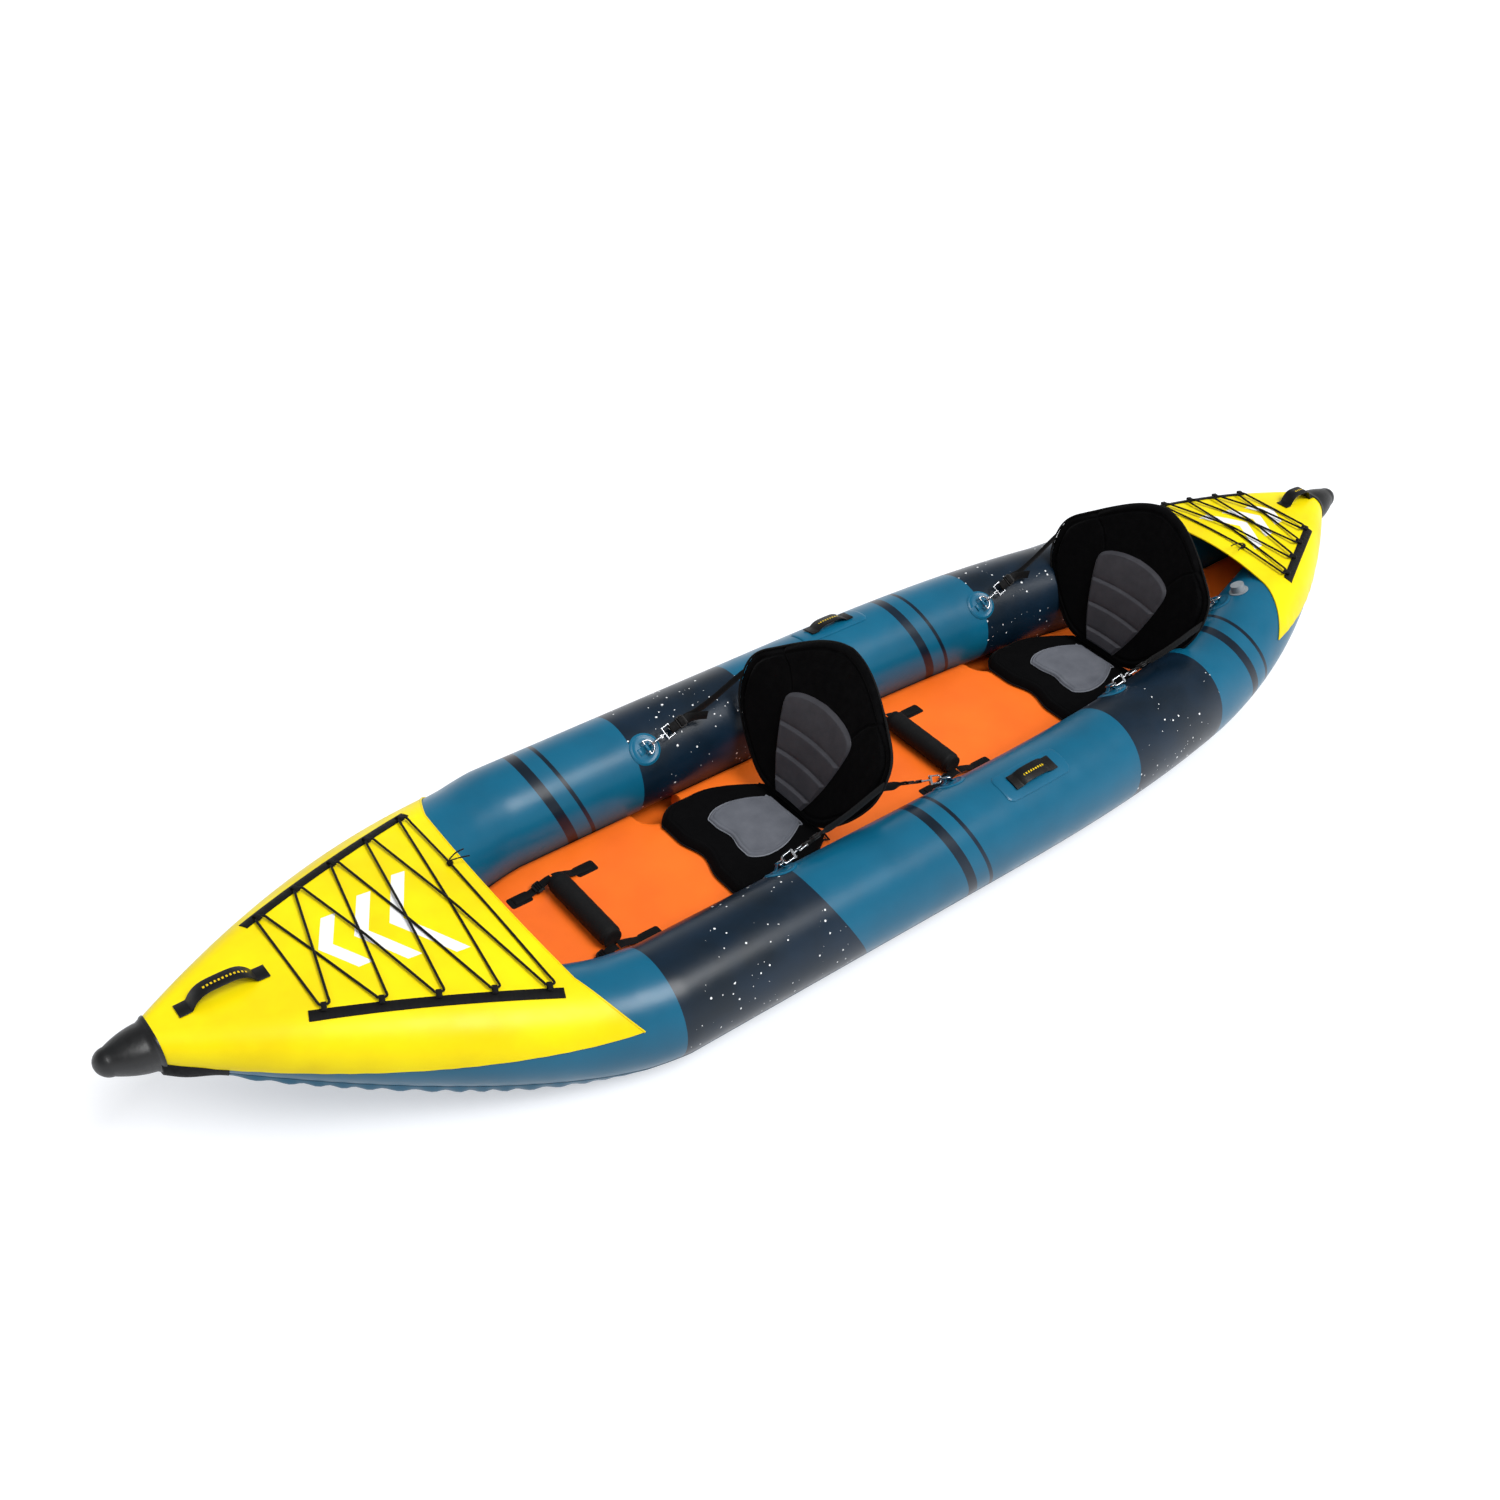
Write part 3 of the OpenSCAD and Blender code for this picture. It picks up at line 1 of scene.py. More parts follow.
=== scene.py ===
"""Looks of an inflatable tandem kayak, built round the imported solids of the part.

Frame: +X to the bow, +Y to port, +Z up, in metres. The origin is on the ground under the middle of the hull.
"""
import json
import logging
import math
from collections.abc import Sequence
from dataclasses import dataclass
from enum import Enum

import bmesh
import bpy
import numpy as np
from mathutils import Matrix, Vector


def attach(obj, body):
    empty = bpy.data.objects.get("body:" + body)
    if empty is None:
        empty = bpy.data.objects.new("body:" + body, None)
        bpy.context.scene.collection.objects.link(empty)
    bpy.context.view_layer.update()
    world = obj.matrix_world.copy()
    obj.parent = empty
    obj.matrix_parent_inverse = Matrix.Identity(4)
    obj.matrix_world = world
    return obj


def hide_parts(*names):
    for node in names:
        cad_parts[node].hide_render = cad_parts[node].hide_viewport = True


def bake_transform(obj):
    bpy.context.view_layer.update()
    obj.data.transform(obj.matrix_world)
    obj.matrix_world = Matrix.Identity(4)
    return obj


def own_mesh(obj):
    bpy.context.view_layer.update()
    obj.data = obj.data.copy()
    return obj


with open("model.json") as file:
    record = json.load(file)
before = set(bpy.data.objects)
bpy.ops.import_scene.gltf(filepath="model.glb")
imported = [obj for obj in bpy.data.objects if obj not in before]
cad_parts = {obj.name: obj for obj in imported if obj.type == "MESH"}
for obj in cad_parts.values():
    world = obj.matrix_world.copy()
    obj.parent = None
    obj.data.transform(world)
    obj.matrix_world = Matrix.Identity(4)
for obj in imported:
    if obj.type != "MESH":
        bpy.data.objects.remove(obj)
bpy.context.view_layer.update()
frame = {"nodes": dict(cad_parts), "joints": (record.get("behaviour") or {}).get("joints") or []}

LOG = logging.getLogger("kayak")
MM = 0.001

Source = bpy.types.Node | bpy.types.NodeSocket
Point = np.ndarray
Values = np.ndarray | float

COORDINATES = "ShaderNodeTexCoord"
MAP_RANGE = "ShaderNodeMapRange"
MATH = "ShaderNodeMath"
MIX = "ShaderNodeMix"
NOISE = "ShaderNodeTexNoise"
RAMP = "ShaderNodeValToRGB"
SEPARATE = "ShaderNodeSeparateXYZ"
VORONOI = "ShaderNodeTexVoronoi"
WAVE = "ShaderNodeTexWave"
# Blender's wave texture turns 20 radians for each unit of its vector
WAVE_TURN = 2 * math.pi / 20
UP = np.array([0.0, 0.0, 1.0])
ACROSS = np.array([0.0, 1.0, 0.0])
# The first and the last row of a grid
BOTH_ENDS = (0, -1)


class Named(Enum):
    """A choice whose name goes into the names of pieces."""

    @property
    def label(self) -> str:
        """The name in small letters."""
        return self.name.lower()


class Side(Named):
    """The two sides of the boat, with the sign of Y."""

    PORT = 1
    STARBOARD = -1

    @property
    def mirror(self) -> Point:
        """What takes a point on the port side to this side."""
        return np.array([1.0, self.value, 1.0])


class End(Named):
    """The two ends of the boat, with the sign of X."""

    BOW = 1
    STERN = -1


class Way(Named):
    """The way a strap runs along the boat, with the sign of X."""

    FORE = 1
    AFT = -1


class Coords(Enum):
    """Where a finish takes the coordinates of its pattern from."""

    OBJECT = "Object"
    UV = "UV"


class Texture(Enum):
    """The relief that a finish shows."""

    GRAIN = "grain"
    WEAVE = "weave"
    RIB = "rib"
    BRAID = "braid"
    PORES = "pores"


def linear(code: str) -> tuple[float, ...]:
    """Turns an sRGB colour as a hex value into Blender's linear one, with an alpha of 1."""
    shares = [channel / 255 for channel in bytes.fromhex(code[1:])]
    return (*(s / 12.92 if s <= 0.04045 else ((s + 0.055) / 1.055) ** 2.4 for s in shares), 1.0)


def shade(code: str, factor: float) -> str:
    """Makes an sRGB colour lighter or darker by multiplying each channel."""
    return "#" + bytes(min(255, round(channel * factor)) for channel in bytes.fromhex(code[1:])).hex()


def feed(node: bpy.types.Node, inputs: dict[int | str, object]) -> None:
    """Gives inputs of a node their values or links.

    Args:
        node: the node.
        inputs: for each input a value, a socket that feeds it, or a node whose first output feeds it.
    """
    for key, value in inputs.items():
        if isinstance(value, bpy.types.Node):
            value = value.outputs[0]
        if isinstance(value, bpy.types.NodeSocket):
            node.id_data.links.new(value, node.inputs[key])
        else:
            node.inputs[key].default_value = value


def add_node(tree: bpy.types.NodeTree, kind: str, *values: object,
             inputs: dict[int | str, object] | None = None, stops: Sequence[tuple[float, str]] = (),
             **settings: object) -> bpy.types.Node:
    """Adds a node with its settings, values and links.

    Args:
        tree: the material's node tree.
        kind: the node's type name.
        values: what goes into its first inputs, in their order.
        inputs: what goes into other inputs, by name or number.
        stops: places and hex colours of a colour ramp.
        settings: the node's own properties.

    Returns:
        The new node.
    """
    node = tree.nodes.new(kind)
    for name, value in settings.items():
        setattr(node, name, value)
    feed(node, dict(enumerate(values)))
    feed(node, inputs or {})
    for element, (place, code) in zip(node.color_ramp.elements if stops else (), stops):
        element.position = place
        element.color = linear(code)
    return node


def unit(v: Point) -> Point:
    """Scales a vector to length 1."""
    return np.asarray(v, float) / np.linalg.norm(v)


def smooth(t: Values) -> Values:
    """Rises smoothly from 0 at 0 to 1 at 1."""
    t = np.clip(t, 0, 1)
    return t * t * (3 - 2 * t)


def soft_edge(distance: Values, width: float) -> Values:
    """Rises from 0 at an edge to 1 at the given distance from it, as in the part's source."""
    t = np.clip(distance / width, 0, 1)
    return t * (2 - t)


def groove(distance: Values, width: float) -> Values:
    """Depth of a sewn groove, from 1 at its middle to 0 away from it."""
    return np.exp(-(distance / width) ** 2)


def arch(t: Point, foot: float) -> Point:
    """Height of a handle that bows up between two flat feet, from 0 to 1."""
    return 1 - np.abs(2 * np.clip((t - foot) / (1 - 2 * foot), 0, 1) - 1) ** 4


def full_turn(steps: int) -> Point:
    """Angles once round, in radians."""
    return np.linspace(0, 2 * np.pi, steps, endpoint=False)


def pairs(rows: Sequence[float], cols: Sequence[float]) -> Point:
    """Grid of pairs: each row's value with each column's."""
    return np.stack(np.meshgrid(rows, cols, indexing="ij"), -1)


def rounded_outline(steps: int, size: tuple[float, float], corner: float, square: float = 4.0) -> Point:
    """Outline of a rectangle with round corners.

    Args:
        steps: points of the outline.
        size: the rectangle's length and width.
        corner: radius of the corners.
        square: how fast the line goes from one corner to the next.

    Returns:
        Distances along and aside from the middle, in two rows.
    """
    turn = full_turn(steps)
    rows = [np.clip(wave * square, -1, 1) * (length / 2 - corner) + wave * corner
            for wave, length in zip((np.cos(turn), np.sin(turn)), size)]
    return np.stack(rows)


def curve_through(points: Sequence[Point], steps: int, closed: bool = False) -> Point:
    """Draws a smooth line through points.

    Args:
        points: the points to pass through.
        steps: pieces between one point and the next.
        closed: whether the line comes back to its start.

    Returns:
        The points of the line.
    """
    p = np.asarray(points, float)
    first, last = (p[-1:], p[:2]) if closed else (2 * p[:1] - p[1:2], 2 * p[-1:] - p[-2:-1])
    padded = np.vstack([first, p, last])
    before, here, after, ahead = (padded[k:len(padded) - 3 + k] for k in range(4))
    rows = []
    for t in np.arange(steps) / steps:
        bend = (2 * before - 5 * here + 4 * after - ahead) * t * t
        twist = (3 * here - before - 3 * after + ahead) * t ** 3
        rows.append(0.5 * (2 * here + (after - before) * t + bend + twist))
    line = np.stack(rows, 1).reshape(-1, 3)
    return line if closed else np.vstack([line, p[-1]])


def run_lengths(path: Point, closed: bool) -> Point:
    """Distance of each point of a line from its start, with the way back to the start if it is closed."""
    line = np.vstack([path, path[:1]]) if closed else path
    return np.concatenate([[0.0], np.cumsum(np.linalg.norm(np.diff(line, axis=0), axis=1))])


def directions(path: Point, closed: bool) -> Point:
    """Unit directions of a line at its points."""
    run = np.roll(path, -1, 0) - np.roll(path, 1, 0) if closed else np.gradient(path, axis=0)
    return run / np.linalg.norm(run, axis=1)[:, None]


def line_distance(points: Point, line: Point, closed: bool = True) -> Point:
    """Distance of points in a plane from a line of points.

    Args:
        points: places in the plane.
        line: points of the line.
        closed: whether the line comes back to its start.

    Returns:
        One distance for each point.
    """
    best = np.full(len(points), np.inf)
    for a, b in zip(line, np.roll(line, -1, 0) if closed else line[1:]):
        run = b - a
        t = np.clip(((points - a) @ run) / max(run @ run, 1e-12), 0, 1)
        best = np.minimum(best, np.linalg.norm(points - a - t[:, None] * run, axis=1))
    return best


class Shape:
    """Gathers grids of points into one mesh."""

    def __init__(self) -> None:
        """Starts with no points."""
        self.points: list[Point] = []
        self.faces: list[list[int]] = []
        self.uvs: list[Sequence[Sequence[float]]] = []
        self.count = 0

    def face(self, corners: list[int], uv: Sequence[Sequence[float]] | None) -> None:
        """Adds a face, with all its pattern coordinates 0 if none are given."""
        self.faces.append(corners)
        self.uvs.append([(0.0, 0.0)] * len(corners) if uv is None else uv)

    def grid(self, points: Point, uv: Point | None = None, close_rows: bool = False, close_cols: bool = False,
             lids: Sequence[int] = ()) -> None:
        """Adds a grid of points with a face in each cell.

        Args:
            points: rows by columns of points.
            uv: rows by columns of pattern coordinates, with one row or column more where the grid closes.
            close_rows: whether the last row joins the first.
            close_cols: whether the last column joins the first.
            lids: rows that one more face closes.
        """
        rows, cols = points.shape[:2]
        first = self.count
        self.points.append(points.reshape(-1, 3))
        self.count += rows * cols
        for i in range(rows if close_rows else rows - 1):
            for j in range(cols if close_cols else cols - 1):
                corners = ((i, j), (i + 1, j), (i + 1, j + 1), (i, j + 1))
                self.face([first + a % rows * cols + b % cols for a, b in corners],
                          None if uv is None else [uv[corner] for corner in corners])
        for row in lids:
            start = first + row % rows * cols
            self.face(list(range(start, start + cols)), None)

    def slab(self, upper: Point, lower: Point, uv: Point | None = None) -> None:
        """Adds a closed sheet between two grids of the same size.

        Args:
            upper: rows by columns of points of one face.
            lower: the points of the other face.
            uv: pattern coordinates of both faces.
        """
        top = self.count
        self.grid(upper, uv)
        low = self.count
        self.grid(lower, uv)
        index = np.arange(low - top).reshape(upper.shape[:2])
        rim = np.concatenate([index[0, :-1], index[:-1, -1], index[-1, :0:-1], index[:0:-1, 0]]).tolist()
        for a, b in zip(rim, rim[1:] + rim[:1]):
            edge_uv = None if uv is None else uv.reshape(-1, 2)[[a, b, b, a]]
            self.face([top + a, top + b, low + b, low + a], edge_uv)

    def ribbon(self, path: Point, across: Point, width: float, thick: float, closed: bool = False) -> None:
        """Adds a flat band with rounded edges along a line.

        Args:
            path: the points of the line.
            across: the direction of the band's width, one for all points or one for each.
            width: the band's width.
            thick: the band's thickness.
            closed: whether the band comes back to its start.
        """
        run = directions(path, closed)
        wide = np.broadcast_to(across, path.shape)
        wide = wide - run * np.sum(wide * run, axis=1)[:, None]
        wide = wide / np.linalg.norm(wide, axis=1)[:, None]
        rise = np.cross(run, wide)
        edge = thick / 2
        half = width / 2
        brow = thick * 0.15
        section = [(half - edge, edge), (edge - half, edge), (-half, brow), (-half, -brow),
                   (edge - half, -edge), (half - edge, -edge), (half, -brow), (half, brow)]
        rings = np.stack([path + wide * a + rise * b for a, b in section], 1)
        uv = pairs(run_lengths(path, closed), [a for a, _ in section + section[:1]])
        self.grid(rings, uv, closed, True, () if closed else BOTH_ENDS)

    def cord(self, path: Point, radius: float, sides: int, closed: bool = False) -> None:
        """Adds a round cord along a line.

        Args:
            path: the points of the line.
            radius: the cord's radius.
            sides: points round the cord.
            closed: whether the cord comes back to its start.
        """
        run = directions(path, closed)
        aside = np.cross(run[0], UP if abs(run[0][2]) < 0.9 else (1.0, 0.0, 0.0))
        frames = []
        for step in run:
            aside = unit(aside - step * np.dot(aside, step))
            frames.append(aside)
        a = np.array(frames)[:, None]
        b = np.cross(run, frames)[:, None]
        turn = full_turn(sides)[None, :, None]
        ring = np.cos(turn) * a + np.sin(turn) * b
        uv = pairs(run_lengths(path, closed), np.linspace(0, 2 * np.pi * radius, sides + 1))
        self.grid(path[:, None] + radius * ring, uv, closed, True, () if closed else BOTH_ENDS)

    def lathe(self, profile: Sequence[tuple[float, float]], centre: Point, sides: int) -> None:
        """Adds a form turned about an axis across the boat.

        Args:
            profile: pairs of distance along the axis and radius, from one end to the other.
            centre: the point of the axis that distances are measured from.
            sides: points round the form.
        """
        turn = full_turn(sides)
        ring = np.stack([np.cos(turn), 0 * turn, -np.sin(turn)], -1)
        points = np.stack([centre + ACROSS * along + ring * r for along, r in profile])
        widest = max(r for _, r in profile)
        uv = pairs([along for along, _ in profile], np.linspace(0, 2 * np.pi * widest, sides + 1))
        self.grid(points, uv, close_cols=True, lids=BOTH_ENDS)

    def build(self, name: str, finish: "Finish", sharp: float = 50.0) -> bpy.types.Object:
        """Makes the object.

        Args:
            name: the piece's name.
            finish: what its surface is.
            sharp: the angle in degrees from which an edge looks sharp.

        Returns:
            The object, with faces that point outwards.
        """
        mesh = bpy.data.meshes.new(name)
        mesh.from_pydata(np.concatenate(self.points).tolist(), [], self.faces)
        flat = [value for face in self.uvs for corner in face for value in corner]
        mesh.uv_layers.new(name="UVMap").data.foreach_set("uv", flat)
        edit = bmesh.new()
        edit.from_mesh(mesh)
        bmesh.ops.recalc_face_normals(edit, faces=edit.faces)
        edit.to_mesh(mesh)
        edit.free()
        return link_mesh(mesh, finish, sharp)

    def place(self, name: str, finish: "Finish", slot: str, *nodes: str,
              sharp: float = 50.0) -> bpy.types.Object:
        """Makes the object and rides it on the hull, as build and place_piece say."""
        return place_piece(self.build(name, finish, sharp), slot, *nodes)


def link_mesh(mesh: bpy.types.Mesh, finish: "Finish", sharp: float = 50.0) -> bpy.types.Object:
    """Puts a mesh into the scene with its finish.

    Args:
        mesh: the mesh, which gives the object its name.
        finish: what its surface is.
        sharp: the angle in degrees from which an edge looks sharp.

    Returns:
        The object.
    """
    mesh.materials.clear()
    mesh.materials.append(finish.material())
    mesh.shade_smooth()
    mesh.set_sharp_from_angle(angle=math.radians(sharp))
    return link_object(mesh.name, mesh)


def link_object(name: str, data: bpy.types.ID) -> bpy.types.Object:
    """Makes an object in the scene.

    Args:
        name: the object's name.
        data: its mesh, lamp or camera.

    Returns:
        The object.
    """
    thing = bpy.data.objects.new(name, data)
    bpy.context.scene.collection.objects.link(thing)
    return thing


def place_piece(piece: bpy.types.Object, slot: str, *nodes: str,
                body: str | None = "hull") -> bpy.types.Object:
    """Rides a piece on its body, hides the solids that it stands for, and reports it.

    Args:
        piece: the object.
        slot: the record's material slot; not used.
        nodes: the solids that it stands for.
        body: the body that it moves with, or nothing to leave it unattached.

    Returns:
        The same object.
    """
    if body:
        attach(piece, body)
    if nodes:
        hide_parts(*nodes)
    LOG.info("%s: %d faces", piece.name, len(piece.data.polygons))
    return piece


def vertex_array(mesh: bpy.types.Mesh) -> Point:
    """Reads the points of a mesh.

    Args:
        mesh: the mesh.

    Returns:
        One row for each point.
    """
    flat = np.zeros(len(mesh.vertices) * 3)
    mesh.vertices.foreach_get("co", flat)
    return flat.reshape(-1, 3)


def move_vertices(mesh: bpy.types.Mesh, points: Point) -> None:
    """Writes the points of a mesh."""
    mesh.vertices.foreach_set("co", points.astype(np.float32).ravel())
    mesh.update()


def evaluated_mesh(piece: bpy.types.Object) -> bpy.types.Mesh:
    """A new mesh of an object as its modifiers leave it."""
    return bpy.data.meshes.new_from_object(piece.evaluated_get(bpy.context.evaluated_depsgraph_get()))


def swell(shell: bpy.types.Object, name: str, finish: "Finish", voxel: float, cap: float,
          axis: Point) -> bpy.types.Object:
    """Makes a padded piece from a closed shell: an even mesh, blown up as cloth under pressure.

    The piping holds the outline of the real cushion, so points move along the axis alone.

    Args:
        shell: the closed shell, which is removed.
        name: the padded piece's name.
        finish: its cloth.
        voxel: size of the even mesh.
        cap: how far a point may move.
        axis: the direction of the cushion's thickness.

    Returns:
        The padded piece.
    """
    pressure = 4.0
    frames = 20
    scene = bpy.context.scene
    even = shell.modifiers.new("Even", "REMESH")
    even.mode = "VOXEL"
    even.voxel_size = voxel
    mesh = evaluated_mesh(shell)
    bpy.data.objects.remove(shell)
    soft = link_object(name + ".soft", mesh)
    rest = vertex_array(mesh)
    cloth = soft.modifiers.new("Cloth", "CLOTH")
    cloth.settings.use_pressure = True
    cloth.settings.uniform_pressure_force = pressure
    cloth.settings.effector_weights.gravity = 0.0
    cloth.point_cache.frame_start = 1
    cloth.point_cache.frame_end = frames
    for number in range(1, frames + 1):
        scene.frame_set(number)
    blown = evaluated_mesh(soft)
    shift = vertex_array(blown) - rest
    bpy.data.meshes.remove(blown)
    soft.modifiers.remove(cloth)
    scene.frame_set(1)
    rise = np.clip(shift @ axis, -cap, cap)
    move_vertices(mesh, rest + rise[:, None] * axis)
    soft.modifiers.new("Fine", "SUBSURF").levels = 1
    fine = evaluated_mesh(soft)
    bpy.data.objects.remove(soft)
    bpy.data.meshes.remove(mesh)
    fine.name = name
    return link_mesh(fine, finish, 60.0)


@dataclass(frozen=True)
class Finish:
    """A surface: its colour, gloss and relief, and the material that shows them."""

    name: str
    colour: str
    roughness: float
    texture: Texture = Texture.GRAIN
    pitch_mm: float = 3.0
    relief_mm: float = 0.15
    coords: Coords = Coords.OBJECT
    mottle: float = 0.05
    mottle_mm: float = 180.0
    ior: float = 1.5
    metallic: float = 0.0
    specular: float = 0.5
    sheen: float = 0.0

    def material(self) -> bpy.types.Material:
        """Makes the material, or finds it if it is made already.

        Returns:
            The material.
        """
        known = bpy.data.materials.get(self.name)
        if known is not None:
            return known
        material = bpy.data.materials.new(self.name)
        material.use_nodes = True
        tree = material.node_tree
        place = add_node(tree, COORDINATES).outputs[self.coords.value]
        wear = add_node(tree, NOISE, place, inputs={"Scale": 1000 / self.mottle_mm * 3, "Detail": 4.0})
        gloss = add_node(tree, MAP_RANGE, wear, inputs={
            "From Min": 0.3, "From Max": 0.7,
            "To Min": self.roughness * 0.86, "To Max": min(1.0, self.roughness * 1.14)})
        bump = add_node(tree, "ShaderNodeBump", inputs={
            "Strength": 1.0, "Distance": self.relief_mm * MM, "Height": self.relief(tree, place)})
        shader = tree.nodes["Principled BSDF"]
        feed(shader, {"Base Color": self.pigment(tree), "Roughness": gloss, "Normal": bump,
                      "Metallic": self.metallic})
        if not self.metallic:
            feed(shader, {"IOR": self.ior, "Specular IOR Level": self.specular})
        if self.sheen:
            feed(shader, {"Sheen Weight": self.sheen, "Sheen Roughness": 0.4})
        return material

    def pigment(self, tree: bpy.types.NodeTree) -> Source:
        """Colours the surface with a faint mottle.

        Args:
            tree: the material's node tree.

        Returns:
            The node or socket that gives the colour.
        """
        spot = add_node(tree, COORDINATES).outputs["Object"]
        cloud = add_node(tree, NOISE, spot, inputs={"Scale": 1000 / self.mottle_mm, "Detail": 4.0})
        return add_node(tree, RAMP, cloud, stops=(
            (0.3, shade(self.colour, 1 - self.mottle)), (0.7, shade(self.colour, 1 + self.mottle))))

    def relief(self, tree: bpy.types.NodeTree, place: Source) -> Source:
        """Draws the relief as a height from 0 to 1.

        Args:
            tree: the material's node tree.
            place: the coordinates of the pattern.

        Returns:
            The node that gives the height.
        """
        cells = 1000 / self.pitch_mm
        waves = {"Scale": WAVE_TURN * cells}
        match self.texture:
            case Texture.GRAIN:
                return add_node(tree, NOISE, place, inputs={"Scale": cells, "Detail": 3.0})
            case Texture.RIB:
                return add_node(tree, WAVE, place, inputs={**waves, "Distortion": 0.3}, bands_direction="X")
            case Texture.PORES:
                cell = add_node(tree, VORONOI, place, inputs={"Scale": cells})
                return add_node(tree, MATH, cell, 0.6, operation="MINIMUM")
            case Texture.BRAID:
                place = add_node(tree, "ShaderNodeMapping", place, inputs={
                    "Rotation": (0.0, 0.0, math.radians(45))})
        weft = add_node(tree, WAVE, place, inputs=waves, bands_direction="X")
        warp = add_node(tree, WAVE, place, inputs=waves, bands_direction="Y")
        return add_node(tree, MATH, weft, warp, operation="MULTIPLY")


@dataclass(frozen=True)
class TubePrint(Finish):
    """Coated fabric of a side tube, printed with darker blocks, slanted pinstripes and a fine spray."""

    ink: str = "#0a1d2d"
    spray: str = "#f4f7f9"
    # Ends of each dark block along the boat, and the slant of the aft end
    blocks: tuple[tuple[float, float, float], ...] = ()
    # Place and width along the boat of each pinstripe
    stripes: tuple[tuple[float, float], ...] = ()
    stripe_slant: float = 0.05
    # Distance between spray drops, and the largest radius of one
    drop_cell: float = 0.014
    drop_r: float = 0.0036

    def pigment(self, tree: bpy.types.NodeTree) -> Source:
        """Colours the tube: the ground, the blocks with their spray, and the pinstripes.

        Args:
            tree: the material's node tree.

        Returns:
            The socket that gives the colour.
        """
        parts = add_node(tree, SEPARATE, add_node(tree, COORDINATES).outputs["UV"])
        along = parts.outputs[0]
        angle = add_node(tree, MATH, parts.outputs[1], 2 * math.pi, operation="MULTIPLY")
        height = add_node(tree, MATH, angle, operation="SINE")
        mask = 0.0
        for aft, fore, slant in self.blocks:
            lean = add_node(tree, MATH, height, slant, aft, operation="MULTIPLY_ADD")
            past = add_node(tree, MATH, along, lean, operation="GREATER_THAN")
            short = add_node(tree, MATH, along, fore, operation="LESS_THAN")
            block = add_node(tree, MATH, past, short, operation="MULTIPLY")
            mask = add_node(tree, MATH, mask, block, operation="MAXIMUM")
        printed = mask
        for middle, width in self.stripes:
            lean = add_node(tree, MATH, height, self.stripe_slant, middle, operation="MULTIPLY_ADD")
            stripe = add_node(tree, MATH, along, lean, width / 2, operation="COMPARE")
            printed = add_node(tree, MATH, printed, stripe, operation="MAXIMUM")
        spot = add_node(tree, COORDINATES).outputs["Object"]
        cloud = add_node(tree, NOISE, spot, inputs={"Scale": 7.0, "Detail": 5.0})
        dark = add_node(tree, RAMP, cloud, stops=((0.35, shade(self.ink, 0.85)), (0.7, shade(self.ink, 1.2))))
        inks = {6: Finish.pigment(self, tree), 7: dark}
        inked = add_node(tree, MIX, printed, inputs=inks, data_type="RGBA")
        drops = add_node(tree, VORONOI, spot, inputs={"Scale": 1 / self.drop_cell})
        size = add_node(tree, SEPARATE, drops.outputs["Color"])
        reach = add_node(tree, MATH, size, 2.0, operation="POWER")
        reach = add_node(tree, MATH, reach, self.drop_r / self.drop_cell, operation="MULTIPLY")
        drop = add_node(tree, MATH, drops, reach, operation="LESS_THAN")
        patch = add_node(tree, NOISE, spot, inputs={"Scale": 9.0, "Detail": 1.0})
        some = add_node(tree, MATH, patch, 0.5, operation="GREATER_THAN")
        both = add_node(tree, MATH, drop, some, operation="MULTIPLY")
        shown = add_node(tree, MATH, both, mask, operation="MULTIPLY")
        sprayed = {6: inked.outputs[2], 7: linear(self.spray)}
        return add_node(tree, MIX, shown, inputs=sprayed, data_type="RGBA").outputs[2]


@dataclass(frozen=True)
class InkPrint(Finish):
    """A surface printed with one ink."""

    ink: str = "#f4f5f6"

    def mask(self, tree: bpy.types.NodeTree, along: Source, aside: Source) -> Source:
        """Draws the print, with 1 where the ink is and 0 elsewhere."""
        raise NotImplementedError

    def pigment(self, tree: bpy.types.NodeTree) -> Source:
        """Colours the ground and prints on it.

        Args:
            tree: the material's node tree.

        Returns:
            The socket that gives the colour.
        """
        parts = add_node(tree, SEPARATE, add_node(tree, COORDINATES).outputs["UV"])
        aside = add_node(tree, MATH, parts.outputs[1], operation="ABSOLUTE")
        mask = self.mask(tree, parts.outputs[0], aside)
        inked = {6: Finish.pigment(self, tree), 7: linear(self.ink)}
        return add_node(tree, MIX, mask, inputs=inked, data_type="RGBA").outputs[2]


@dataclass(frozen=True)
class DeckPrint(InkPrint):
    """Coated fabric of a spray deck, printed with plain chevrons."""

    # Place of each chevron's point along the boat and half of its span
    chevrons: tuple[tuple[float, float], ...] = ()
    band: float = 0.034
    slope: float = 0.55

    def mask(self, tree: bpy.types.NodeTree, along: Source, aside: Source) -> Source:
        """Draws the chevrons.

        Args:
            tree: the material's node tree.
            along: place along the boat.
            aside: distance from the centreline.

        Returns:
            The node that gives 1 on a chevron and 0 elsewhere.
        """
        swept = add_node(tree, MATH, aside, self.slope, along, operation="MULTIPLY_ADD")
        mask = 0.0
        for point, span in self.chevrons:
            near = add_node(tree, MATH, swept, point, self.band / 2, operation="COMPARE")
            inside = add_node(tree, MATH, aside, span, operation="LESS_THAN")
            chevron = add_node(tree, MATH, near, inside, operation="MULTIPLY")
            mask = add_node(tree, MATH, mask, chevron, operation="MAXIMUM")
        return mask


